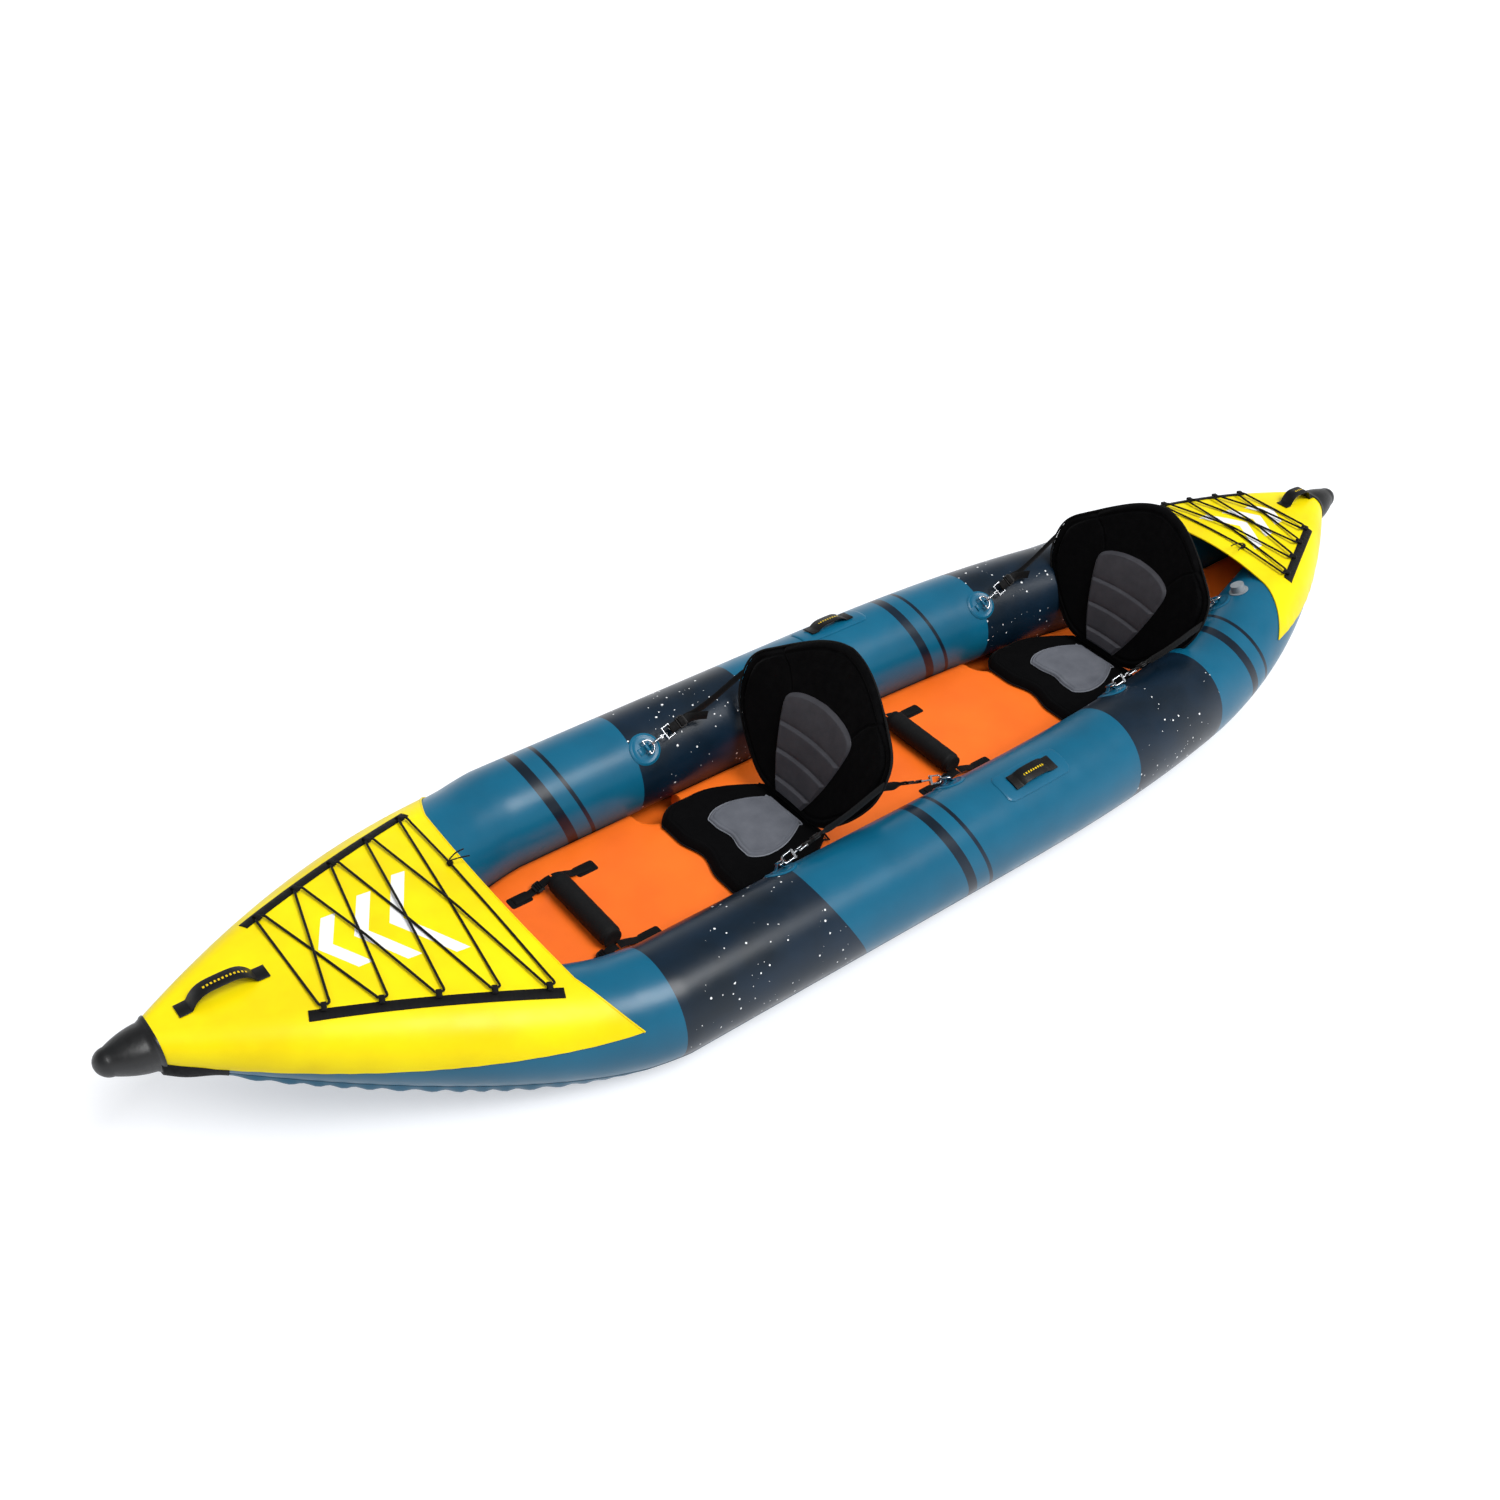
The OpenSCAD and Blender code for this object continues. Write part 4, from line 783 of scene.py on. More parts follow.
@dataclass(frozen=True)
class DashPrint(InkPrint):
    """Moulded grip with a row of painted dashes along its middle."""

    ink: str = "#e8c400"
    # Where the row starts and ends along the grip
    first: float = 0.05
    last: float = 0.15
    pitch: float = 0.0085
    share: float = 0.5
    height: float = 0.006

    def mask(self, tree: bpy.types.NodeTree, along: Source, aside: Source) -> Source:
        """Draws the dashes.

        Args:
            tree: the material's node tree.
            along: place along the grip.
            aside: distance from its middle line.

        Returns:
            The node that gives 1 on a dash and 0 elsewhere.
        """
        counted = add_node(tree, MATH, along, 1 / self.pitch, -self.first / self.pitch,
                           operation="MULTIPLY_ADD")
        part = add_node(tree, MATH, counted, operation="FRACT")
        mask = add_node(tree, MATH, part, self.share, operation="LESS_THAN")
        for value, limit, test in ((aside, self.height / 2, "LESS_THAN"), (along, self.first, "GREATER_THAN"),
                                   (along, self.last, "LESS_THAN")):
            within = add_node(tree, MATH, value, limit, operation=test)
            mask = add_node(tree, MATH, mask, within, operation="MULTIPLY")
        return mask


# Polyester fabric coated with calendered PVC: an even satin gloss, the base cloth showing faintly through.
# Its threads lie 1 mm apart, drawn at 3 mm so that they show.
PVC = {"roughness": 0.32, "texture": Texture.WEAVE, "pitch_mm": 3.0, "relief_mm": 0.02, "ior": 1.53,
       "specular": 0.32}
# The deck sheets are calendered to a duller face than the tubes.
DECK_PVC = {**PVC, "roughness": 0.4, "specular": 0.2}
PORT_PVC = TubePrint("printed_pvc_port_tube", "#075f7f", **PVC,
                     blocks=((0.412, 0.930, 0.074), (-0.993, -0.600, 0.0)),
                     stripes=((0.045, 0.030), (-0.020, 0.012), (-1.190, 0.030), (-1.255, 0.012)))
STARBOARD_PVC = TubePrint("printed_pvc_starboard_tube", "#075f7f", **PVC,
                          blocks=((0.095, 0.520, 0.03), (-1.188, -0.728, 0.0)),
                          stripes=((0.760, 0.030), (0.695, 0.012), (-0.500, 0.030), (-0.565, 0.012)))
BOTTOM_PVC = Finish("coated_pvc_bottom", "#095a79", **PVC)
PATCH_PVC = Finish("coated_pvc_patches", "#0a6182", **PVC)
ORANGE_PVC = Finish("coated_pvc_floor", "#ff7120", **PVC)
BOW_PVC = DeckPrint("printed_pvc_bow_deck", "#fde004", **DECK_PVC,
                    chevrons=((1.530, 0.090), (1.445, 0.120), (1.360, 0.150)))
STERN_PVC = DeckPrint("printed_pvc_stern_deck", "#fde004", **DECK_PVC, slope=-0.55,
                      chevrons=((-1.720, 0.060), (-1.655, 0.085), (-1.590, 0.110)))
YELLOW_PVC = Finish("coated_pvc_hems", "#f6d804", **DECK_PVC)
# Moulded rubber: dark, with a dull gloss and fine scuffs from the ground
RUBBER = Finish("moulded_rubber", "#0d0e10", 0.42, Texture.GRAIN, 14.0, 0.6, mottle=0.25, mottle_mm=40.0,
                ior=1.52)
# Calendered rubber of the chins and keel strips: matt, with fine scuffs
STRIP_RUBBER = Finish("calendered_rubber", "#101113", 0.72, Texture.GRAIN, 6.0, 0.4, mottle=0.25,
                      mottle_mm=30.0, ior=1.52, specular=0.15)
# Woven polyester webbing: ribs across the band, with a weak sheen on the yarn.
# The picks lie 1 mm apart, drawn at 2.4 mm so that they show.
WEBBING = Finish("woven_polyester_webbing", "#0a0a0b", 0.7, Texture.RIB, 2.4, 0.25, Coords.UV, mottle=0.2,
                 mottle_mm=25.0, specular=0.2, sheen=0.05)
# Moulded rubber grip of the handles, with plain painted dashes
GRIP = {"colour": "#0c0c0d", "roughness": 0.48, "texture": Texture.WEAVE, "relief_mm": 0.1,
        "coords": Coords.UV, "mottle": 0.15, "mottle_mm": 30.0, "specular": 0.3}
BOW_GRIP = DashPrint("moulded_grip_bow", **GRIP, first=0.052, last=0.150)
STERN_GRIP = DashPrint("moulded_grip_stern", **GRIP, first=0.036, last=0.102)
SIDE_GRIP = DashPrint("moulded_grip_side", **GRIP, first=0.042, last=0.112)
# Knitted polyester laminated on foam: matt, very dark, a little lighter where it turns away
KNIT = Finish("knit_laminated_foam", "#060607", 0.9, Texture.GRAIN, 1.6, 0.25, mottle=0.2, mottle_mm=60.0,
              specular=0.06, sheen=0.02)
# Grey mesh cloth of the seat pad: a regular net of small holes, 1.5 mm apart, drawn at 3 mm
GREY_MESH = Finish("grey_mesh_cloth", "#5f626a", 0.8, Texture.PORES, 3.0, 0.4, mottle=0.06, mottle_mm=50.0,
                   specular=0.2, sheen=0.05)
# Dark mesh cloth pressed over foam ribs
DARK_MESH = Finish("dark_mesh_cloth", "#3e3e44", 0.6, Texture.PORES, 3.0, 0.3, mottle=0.08, mottle_mm=50.0,
                   specular=0.35, sheen=0.05)
# Piping: bias tape sewn round a cord
TAPE = {"roughness": 0.7, "texture": Texture.BRAID, "pitch_mm": 2.0, "relief_mm": 0.2, "coords": Coords.UV,
        "mottle": 0.1, "specular": 0.2}
PIPING = Finish("bias_tape_piping", "#09090a", **TAPE)
GREY_PIPING = Finish("grey_bias_tape_piping", "#7b7e86", **TAPE)
# Elastic cord with a braided sheath: crossing strands, 1 mm wide, drawn at 2 mm
BRAID = Finish("braided_elastic_cord", "#0b0b0c", 0.62, Texture.BRAID, 2.0, 0.35, Coords.UV, mottle=0.15,
               mottle_mm=20.0, specular=0.2, sheen=0.05)
# Closed-cell foam: matt, with fine pores
FOAM = Finish("closed_cell_foam", "#0f0f10", 0.75, Texture.PORES, 2.5, 0.3, mottle=0.15, mottle_mm=30.0,
              specular=0.25)
# Injection-moulded acetal: smooth, with a soft gloss
ACETAL = Finish("moulded_acetal", "#0c0c0d", 0.42, Texture.GRAIN, 1.0, 0.03, mottle=0.1, mottle_mm=20.0,
                ior=1.48, specular=0.35)
# Injection-moulded grey nylon of the valves
NYLON = Finish("moulded_grey_nylon", "#8f979d", 0.4, Texture.GRAIN, 1.2, 0.03, mottle_mm=20.0, ior=1.53)
# Nickel-plated steel: bright, with faint drawing marks
STEEL = Finish("nickel_plated_steel", "#b4b7bb", 0.2, Texture.GRAIN, 2.0, 0.02, mottle_mm=15.0, metallic=1.0)


@dataclass(frozen=True)
class HullForm:
    """The hull's form, from the same sizes and formulas as the part's source."""

    half_length: float = 2.05
    beam: float = 1.04
    tube_d: float = 0.28
    end_d: float = 0.084
    end_spread: float = 0.02
    # Where each end starts to narrow, taper and rise, by which power, and how far it rises
    bow_narrow: tuple[float, float] = (0.9, 1.3)
    stern_narrow: tuple[float, float] = (0.0, 2.8)
    bow_taper: tuple[float, float] = (1.1, 2.0)
    stern_taper: tuple[float, float] = (1.2, 2.0)
    bow_rise: tuple[float, float, float] = (1.0, 1.35, 0.295)
    stern_rise: tuple[float, float, float] = (1.05, 1.6, 0.26)
    cap_length: float = 0.115
    skin_t: float = 0.0015
    fit_gap: float = 0.0003
    form_gap: float = 0.0009
    deck_gap: float = 0.0009
    floor_t: float = 0.075
    floor_side_gap: float = 0.0016
    belly_steps: int = 14

    @property
    def tube_end(self) -> float:
        """Distance from amidships to the end of the tubes."""
        return self.half_length - self.cap_length

    @property
    def floor_base(self) -> float:
        """Height of the floor's lower face amidships."""
        return self.skin_t + self.form_gap

    @property
    def floor_top(self) -> float:
        """Height of the floor's upper face amidships."""
        return self.floor_base + self.floor_t

    def fade(self, x: Values, start: float, power: float) -> Values:
        """Rises from 0 at the start to 1 at the end of the tubes, by a power of the distance."""
        return (np.maximum(0, np.abs(x) - start) / (self.tube_end - start)) ** power

    def both(self, x: Values, bow: tuple[float, ...], stern: tuple[float, ...]) -> Values:
        """Fades by the bow's values forward of amidships and by the stern's aft of it."""
        return np.where(np.asarray(x) >= 0, self.fade(x, bow[0], bow[1]), self.fade(x, stern[0], stern[1]))

    def tube_y(self, x: Values) -> Values:
        """Distance of a tube's centre from the centreline."""
        middle = (self.beam - self.tube_d) / 2
        return middle + (self.end_spread / 2 - middle) * self.both(x, self.bow_narrow, self.stern_narrow)

    def tube_r(self, x: Values) -> Values:
        """Radius of a tube."""
        taper = self.both(x, self.bow_taper, self.stern_taper)
        return self.tube_d / 2 + (self.end_d - self.tube_d) / 2 * taper

    def keel_z(self, x: Values) -> Values:
        """Height of the bottom above the ground."""
        rise = np.where(np.asarray(x) >= 0, self.bow_rise[2], self.stern_rise[2])
        return rise * self.both(x, self.bow_rise, self.stern_rise)

    def tube_z(self, x: Values) -> Values:
        """Height of a tube's centre."""
        return self.keel_z(x) + self.skin_t + self.fit_gap + self.tube_r(x)

    def floor_half(self, x: Values) -> Values:
        """Half width of the floor's flat top, so that its round side just clears the tube.

        Args:
            x: place along the boat.

        Returns:
            The half width.
        """
        r = self.tube_r(x)
        reach = r + self.floor_t / 2 + self.floor_side_gap
        return self.tube_y(x) - np.sqrt(reach ** 2 - (r - self.floor_t / 2) ** 2)

    def tube_point(self, x: Values, angle: Values, lift: Values = 0.0, side: Side = Side.PORT) -> Point:
        """Point on a tube's surface.

        Args:
            x: place along the boat.
            angle: place round the tube in degrees: 0 is outboard, 90 is up, 180 is inboard.
            lift: distance out of the surface.
            side: the side of the boat.

        Returns:
            The point or points.
        """
        turn = np.radians(angle)
        r = self.tube_r(x) + lift
        y = side.value * (self.tube_y(x) + r * np.cos(turn))
        z = self.tube_z(x) + r * np.sin(turn)
        return np.stack(np.broadcast_arrays(np.asarray(x, float), y, z), -1)

    def patch(self, place: tuple[float, float], outline: Point, levels: Sequence[tuple[float, float]],
              thick: float, side: Side) -> Point:
        """Rings of a welded patch that lies on a tube.

        Args:
            place: where its middle is, along the boat and in degrees round the tube.
            outline: distances of its edge from there, along the boat and round the tube.
            levels: shares of the outline and of the thickness at each ring, from the middle outwards.
            thick: its thickness.
            side: the side of the boat.

        Returns:
            Rings by points.
        """
        rings = []
        for share, rise in levels:
            x = place[0] + outline[0] * share
            angle = place[1] - np.degrees(outline[1] * share / self.tube_r(x))
            lift = self.form_gap * 0.4 + (thick + self.form_gap * 0.6) * rise
            rings.append(self.tube_point(x, angle, lift, side))
        return np.stack(rings)

    def belly(self, x: Point, wrap: float, lift: Sequence[Values]) -> Point:
        """Grid of the underside, from the starboard tube round to the port one.

        Args:
            x: places along the boat.
            wrap: how far it goes up the tubes in degrees, where 0 is outboard and -90 is down.
            lift: distance out of the tubes for each of the steps up a tube.

        Returns:
            Rows along the boat by columns across it.
        """
        low = self.keel_z(x) + self.skin_t + self.fit_gap - lift[0]
        shares = np.linspace(0, 1, self.belly_steps, endpoint=False)
        rows = [np.stack([x, self.tube_y(x) * share, low], -1) for share in shares]
        for angle, out in zip(np.linspace(-90, wrap, len(lift)), lift):
            rows.append(self.tube_point(x, angle, out))
        port = np.stack(rows, 1)
        return np.concatenate([port[:, :0:-1] * Side.STARBOARD.mirror, port], 1)


HULL = HullForm()


@dataclass
class SideTubes:
    """The two inflated side tubes, with their side handles on welded patches."""

    stations: int = 320
    sides: int = 96
    handle_x: float = -0.25
    handle_angle: float = 77.0
    handle_length: float = 0.15
    handle_w: float = 0.046
    handle_h: float = 0.012
    handle_t: float = 0.004
    handle_foot: float = 0.16
    patch_size: tuple[float, float] = (0.23, 0.09)
    patch_corner: float = 0.022
    patch_t: float = 0.0018
    # Shares of the outline and of the thickness from the middle of a patch to its edge
    patch_levels: tuple[tuple[float, float], ...] = (
        (0.0, 1.0), (0.25, 1.0), (0.55, 1.0), (0.8, 1.0), (0.93, 1.0), (0.985, 0.85), (1.0, 0.4), (1.0, 0.0))

    def build(self) -> None:
        """Builds both tubes with their handles and patches."""
        patches = Shape()
        outline = rounded_outline(72, self.patch_size, self.patch_corner)
        for side, finish in ((Side.PORT, PORT_PVC), (Side.STARBOARD, STARBOARD_PVC)):
            self.tube(side, finish)
            self.handle(side)
            place = (self.handle_x, self.handle_angle)
            patches.grid(HULL.patch(place, outline, self.patch_levels, self.patch_t, side), close_cols=True)
        patches.place("side_handle_weld_patches", PATCH_PVC, "teal_pvc", "side_handle_patches", sharp=30.0)

    def tube(self, side: Side, finish: Finish) -> None:
        """Builds one tube.

        Args:
            side: the side of the boat.
            finish: the printed fabric.
        """
        x = np.linspace(-HULL.tube_end, HULL.tube_end, self.stations)
        points = HULL.tube_point(x[:, None], np.linspace(0, 360, self.sides, endpoint=False)[None, :])
        points[..., 1] = np.maximum(points[..., 1], HULL.fit_gap / 2) * side.value
        shape = Shape()
        shape.grid(points, pairs(x, np.linspace(0, 1, self.sides + 1)), close_cols=True, lids=BOTH_ENDS)
        shape.place(f"{side.label}_side_tube", finish, "teal_pvc", f"{side.label}_tube")

    def handle(self, side: Side) -> None:
        """Builds a carry handle on the side of a tube.

        Args:
            side: the side of the boat.
        """
        t = np.linspace(0, 1, 61)
        low = 2 * HULL.form_gap + self.patch_t + self.handle_t / 2
        lift = low + self.handle_h * arch(t, self.handle_foot)
        path = HULL.tube_point(self.handle_x + (t - 0.5) * self.handle_length, self.handle_angle, lift, side)
        turn = math.radians(self.handle_angle)
        shape = Shape()
        shape.ribbon(path, (0.0, side.value * math.sin(turn), -math.cos(turn)), self.handle_w, self.handle_t)
        shape.place(f"{side.label}_side_grip", SIDE_GRIP, "black_webbing", f"{side.label}_side_handle")


@dataclass
class BottomSkin:
    """The bottom sheet that joins the tubes, with puckered welds where the ends turn up, and an orange sheet
    inside it that paints the orange light bounced from the floor mat.
    """

    stations: int = 420
    wrap_angle: float = -36.0
    wrap_steps: int = 20
    pucker_pitch: float = 0.052
    pucker_h: float = 0.006
    # Where the puckers begin and how far they take to grow, and the same back from the end of the tubes
    pucker_start: float = 0.95
    pucker_grow: float = 0.35
    pucker_end: float = 0.06
    pucker_fade: float = 0.12
    flange_h: float = 0.005
    sheet_gap: float = 0.0012
    sheet_t: float = 0.0009
    # Reach, share of the width and thickness of the orange sheet that paints the mat's bounced light (a
    # painted reflection)
    liner_reach: float = 1.8
    liner_share: float = 0.97
    liner_t: float = 0.0006
    chin_length: float = 0.11
    chin_wrap: float = -14.0
    chin_gap: float = 0.002
    chin_back: float = 0.002
    chin_t: float = 0.003
    chin_drop: float = 0.018

    def build(self) -> None:
        """Builds the sheet, the orange sheet inside it that paints the floor mat's bounced light, and the
        rubber chin under each end.
        """
        x = np.linspace(-HULL.tube_end, HULL.tube_end, self.stations)
        wave = 0.5 + 0.5 * np.sin(2 * np.pi * x / self.pucker_pitch + 0.9 * np.sin(x * 23.0))
        grown = smooth((np.abs(x) - self.pucker_start) / self.pucker_grow)
        turned_up = grown * smooth((HULL.tube_end - self.pucker_end - np.abs(x)) / self.pucker_fade)
        hem = np.linspace(0, 1, self.wrap_steps)
        bulge = smooth((hem - 0.2) / 0.5) * (1 - smooth((hem - 0.85) / 0.15))
        pucker = (self.flange_h + self.pucker_h * wave) * turned_up
        outer = HULL.belly(x, self.wrap_angle, [self.sheet_gap + pucker * share for share in bulge])
        shape = Shape()
        shape.slab(outer + UP * self.sheet_t, outer, outer[..., :2])
        shape.place("bottom_sheet", BOTTOM_PVC, "bottom_pvc", "bottom_skin")
        self.liner()
        for end in End:
            self.chin(end)

    def liner(self) -> None:
        """Builds the orange sheet that shows in the floor's notches and under the decks: painted orange light
        bounced from the floor mat.
        """
        x = np.linspace(-self.liner_reach, self.liner_reach, 200)
        x, share = np.meshgrid(x, np.linspace(-self.liner_share, self.liner_share, 15), indexing="ij")
        low = np.stack([x, HULL.tube_y(x) * share, HULL.keel_z(x) + HULL.skin_t + 0.1 * MM], -1)
        shape = Shape()
        shape.slab(low + UP * self.liner_t, low, low[..., :2])
        shape.place("bottom_liner", ORANGE_PVC, "orange_pvc")

    def chin(self, end: End) -> None:
        """Builds the rubber strip that wraps under one end, behind the nose cap.

        Args:
            end: the end of the boat.
        """
        share = np.linspace(0, 1, 16)
        x = end.value * (HULL.tube_end - self.chin_back - self.chin_length * (1 - share))
        edge = soft_edge(np.linspace(1, 0, self.wrap_steps), 0.6)
        drop = self.chin_drop * smooth(share / 0.8)
        lower = HULL.belly(x, self.chin_wrap, [self.chin_gap] * self.wrap_steps)
        upper = HULL.belly(x, self.chin_wrap, [self.chin_gap + self.chin_t + drop * fall for fall in edge])
        shape = Shape()
        shape.slab(upper, lower, lower[..., :2])
        shape.place(f"{end.label}_rubber_chin", STRIP_RUBBER, "black_rubber")


@dataclass
class FloorMat:
    """The drop-stitch floor: a flat inflated slab with round sides and a notch on each side of both seats."""

    bow_reach: float = 1.62
    stern_reach: float = 1.67
    notch_places: tuple[float, float] = (0.485, -0.725)
    notch_r: float = 0.075

    def build(self) -> None:
        """Builds the mat."""
        x = np.unique(np.concatenate([np.linspace(-self.stern_reach, self.bow_reach, 280)] + [
            place + self.notch_r * np.cos(np.linspace(0, np.pi, 40)) for place in self.notch_places]))
        away = np.min([np.abs(x - place) for place in self.notch_places], axis=0)
        half = HULL.floor_half(x) - np.sqrt(np.maximum(0, self.notch_r ** 2 - away ** 2))
        r = HULL.floor_t / 2
        middle = HULL.keel_z(x) + HULL.floor_base + r
        turn = np.radians(np.linspace(-90, 90, 17))
        across = np.linspace(1, -1, 25)[1:-1]
        # Share of the half width, and shares of the side's radius out and up, once round the mat
        section = [(1, math.cos(a), math.sin(a)) for a in turn]
        section += [(share, 0, 1) for share in across]
        section += [(-1, -math.cos(a), math.sin(a)) for a in turn[::-1]]
        section += [(share, 0, -1) for share in across[::-1]]
        ring = [np.stack([x, half * share + r * out, middle + r * up], -1) for share, out, up in section]
        shape = Shape()
        shape.grid(np.stack(ring, 1), close_cols=True, lids=BOTH_ENDS)
        shape.place("floor_air_mat", ORANGE_PVC, "orange_pvc", "floor_mat", sharp=60.0)


@dataclass
class SprayDeck:
    """The deck sheet over one end, with its hem bead."""

    end: End
    finish: Finish
    edge_middle: float
    edge_depth: float = 0.1
    crown: float = 0.015
    hem_edge: float = 26.0
    hem_nose: float = -20.0
    facet: float = 135.0 / 11
    sheet_t: float = 0.0015
    flat_share: float = 0.4
    bead_r: float = 0.0026
    nose_gap: float = 0.001
    # Height of the puckers at the hems, and how many radians they turn in a metre
    pucker_h: float = 0.0011
    pucker_turn: float = 105.0
    rows: int = 90
    cols: int = 121

    @property
    def nose(self) -> float:
        """Distance from amidships to the nose end of the sheet."""
        return HULL.tube_end - self.nose_gap

    def radius(self, x: Values, lift: Values) -> Values:
        """Radius of the sheet round a tube, which clears the tube's flats as in the part's source."""
        return (HULL.tube_r(x) + HULL.deck_gap + lift) / math.cos(math.radians(self.facet / 2))

    def point(self, u: Values, v: Values, lift: Values) -> Point:
        """Point of the sheet.

        Args:
            u: 0 at the cockpit edge, 1 at the nose.
            v: -1 at the starboard hem, 1 at the port hem.
            lift: distance above the sheet's lower face.

        Returns:
            The point or points.
        """
        edge = self.edge_middle - self.edge_depth * v * v
        x = self.end.value * (edge + (self.nose - edge) * u)
        flat = np.minimum(1, np.abs(v) / self.flat_share)
        hem = self.hem_edge + (self.hem_nose - self.hem_edge) * u
        down = np.maximum(0, np.abs(v) - self.flat_share) / (1 - self.flat_share)
        angle = np.radians(90 - (90 - hem) * down)
        r = self.radius(x, lift)
        y = np.sign(v) * (HULL.tube_y(x) * flat + r * np.cos(angle))
        z = HULL.tube_z(x) + r * np.sin(angle) + self.crown * (1 - u) * (1 - flat * flat)
        return np.stack(np.broadcast_arrays(x, y, z), -1)

    def top(self, x: float, y: float) -> float:
        """Height of the sheet's upper face.

        Args:
            x: place along the boat.
            y: place across it.

        Returns:
            The height.
        """
        middle = float(HULL.tube_y(x))
        flat = min(1.0, abs(y) / middle)
        edge = self.edge_middle - self.edge_depth * (flat * self.flat_share) ** 2
        u = (abs(x) - edge) / (self.nose - edge)
        over = max(0.0, abs(y) - middle)
        bend = math.sqrt(max(0.0, float(self.radius(x, self.sheet_t)) ** 2 - over * over))
        return float(HULL.tube_z(x)) + bend + self.crown * (1 - u) * (1 - flat * flat)

    def on_top(self, place: Point) -> Point:
        """Point of the upper face above a place on the boat."""
        return np.array([place[0], place[1], self.top(place[0], place[1])])

    def build(self) -> None:
        """Builds the sheet with small puckers at its hems, and the bead along its cockpit edge."""
        name = self.end.label
        hem_v = np.linspace(-1, 1, self.cols)
        u, v = np.meshgrid(np.linspace(0, 1, self.rows), hem_v, indexing="ij")
        x = self.point(u, v, 0.0)[..., 0]
        hem = smooth((np.abs(v) - 0.8) / 0.2) * smooth(u / 0.08)
        wave = 0.5 + 0.5 * np.sin(x * self.pucker_turn + 1.3 * np.sin(x * 31) + 2.0 * np.sign(v))
        pucker = self.pucker_h * hem * wave
        upper = self.point(u, v, self.sheet_t + pucker)
        shape = Shape()
        shape.slab(upper, self.point(u, v, pucker), upper[..., :2])
        sheet = shape.place(f"{name}_deck_sheet", self.finish, "yellow_pvc", f"{name}_deck")
        bead = Shape()
        bead.cord(self.point(np.zeros_like(hem_v), hem_v, self.sheet_t / 2), self.bead_r, 10)
        hem_bead = bead.place(f"{name}_deck_hem", YELLOW_PVC, "yellow_pvc")


@dataclass
class NoseCap:
    """The moulded rubber cap over one end of the hull, with the skirt that grips the deck."""

    end: End
    tip_r: float = 0.032
    lift: float = 0.005
    keel_drop: float = 0.014
    margin: float = 0.004
    sheet_t: float = 0.0016
    # Distance behind the end of the tubes and height over the deck, from the skirt's inner edge forward
    skirt: tuple[tuple[float, float], ...] = (
        (0.012, 0.0008), (0.012, 0.0030), (0.009, 0.0042), (0.005, 0.0042), (0.003, 0.0030), (0.002, 0.0026))
    fullness: float = 1.9

    def build(self) -> None:
        """Builds the cap."""
        base_w = HULL.end_spread / 2 + HULL.end_d / 2 + self.margin
        base_h = HULL.end_d / 2 + self.margin
        start = HULL.tube_end + HULL.fit_gap
        shoulder = HULL.half_length - self.tip_r
        base_z = float(HULL.tube_z(self.end.value * HULL.tube_end))
        turn = full_turn(64)
        keel = self.keel_drop * smooth(-1.6 * np.sin(turn))
        rings = []
        for back, rim in self.skirt:
            x = self.end.value * (HULL.tube_end - back)
            r = float(HULL.tube_r(x)) + HULL.deck_gap + self.sheet_t + rim
            y = np.cos(turn) * r + np.clip(np.cos(turn) * 3, -1, 1) * float(HULL.tube_y(x))
            z = float(HULL.tube_z(x)) + np.sin(turn) * r - keel
            rings.append(np.stack([np.full_like(turn, x), y, z], -1))
        body = []
        for share in np.linspace(0.06, 0.94, 14):
            wide = 1 - share ** self.fullness
            body.append((start + (shoulder - start) * share, self.tip_r + (base_w - self.tip_r) * wide,
                         self.tip_r + (base_h - self.tip_r) * wide))
        for a in np.radians(np.linspace(0, 88, 14)):
            r = self.tip_r * math.cos(a)
            body.append((shoulder + self.tip_r * math.sin(a), r, r))
        for x, wide, high in body:
            ahead = (x - start) / (HULL.half_length - start)
            z = base_z + self.lift * ahead + high * np.sin(turn) - keel * (1 - ahead)
            rings.append(np.stack([np.full_like(turn, self.end.value * x), wide * np.cos(turn), z], -1))
        shape = Shape()
        shape.grid(np.stack(rings), close_cols=True, lids=(-1,))
        shape.place(f"{self.end.label}_rubber_cap", RUBBER, "black_rubber", f"{self.end.label}_cap")


@dataclass
class EndHandle:
    """The carry handle on a deck: a rubber band that bows up between two flat feet."""

    deck: SprayDeck
    finish: Finish
    middle: float
    length: float
    width: float = 0.040
    height: float = 0.032
    thick: float = 0.004
    foot: float = 0.14

    def build(self) -> None:
        """Builds the handle."""
        end = self.deck.end
        t = np.linspace(0, 1, 91)
        base = HULL.form_gap + self.thick / 2
        path = []
        for x, rise in zip(end.value * self.middle + (t - 0.5) * self.length, arch(t, self.foot)):
            path.append((x, 0.0, self.deck.top(x, 0.0) + base + self.height * rise))
        shape = Shape()
        shape.ribbon(np.array(path), ACROSS, self.width, self.thick)
        shape.place(f"{end.label}_carry_handle", self.finish, "black_webbing", f"{end.label}_handle")


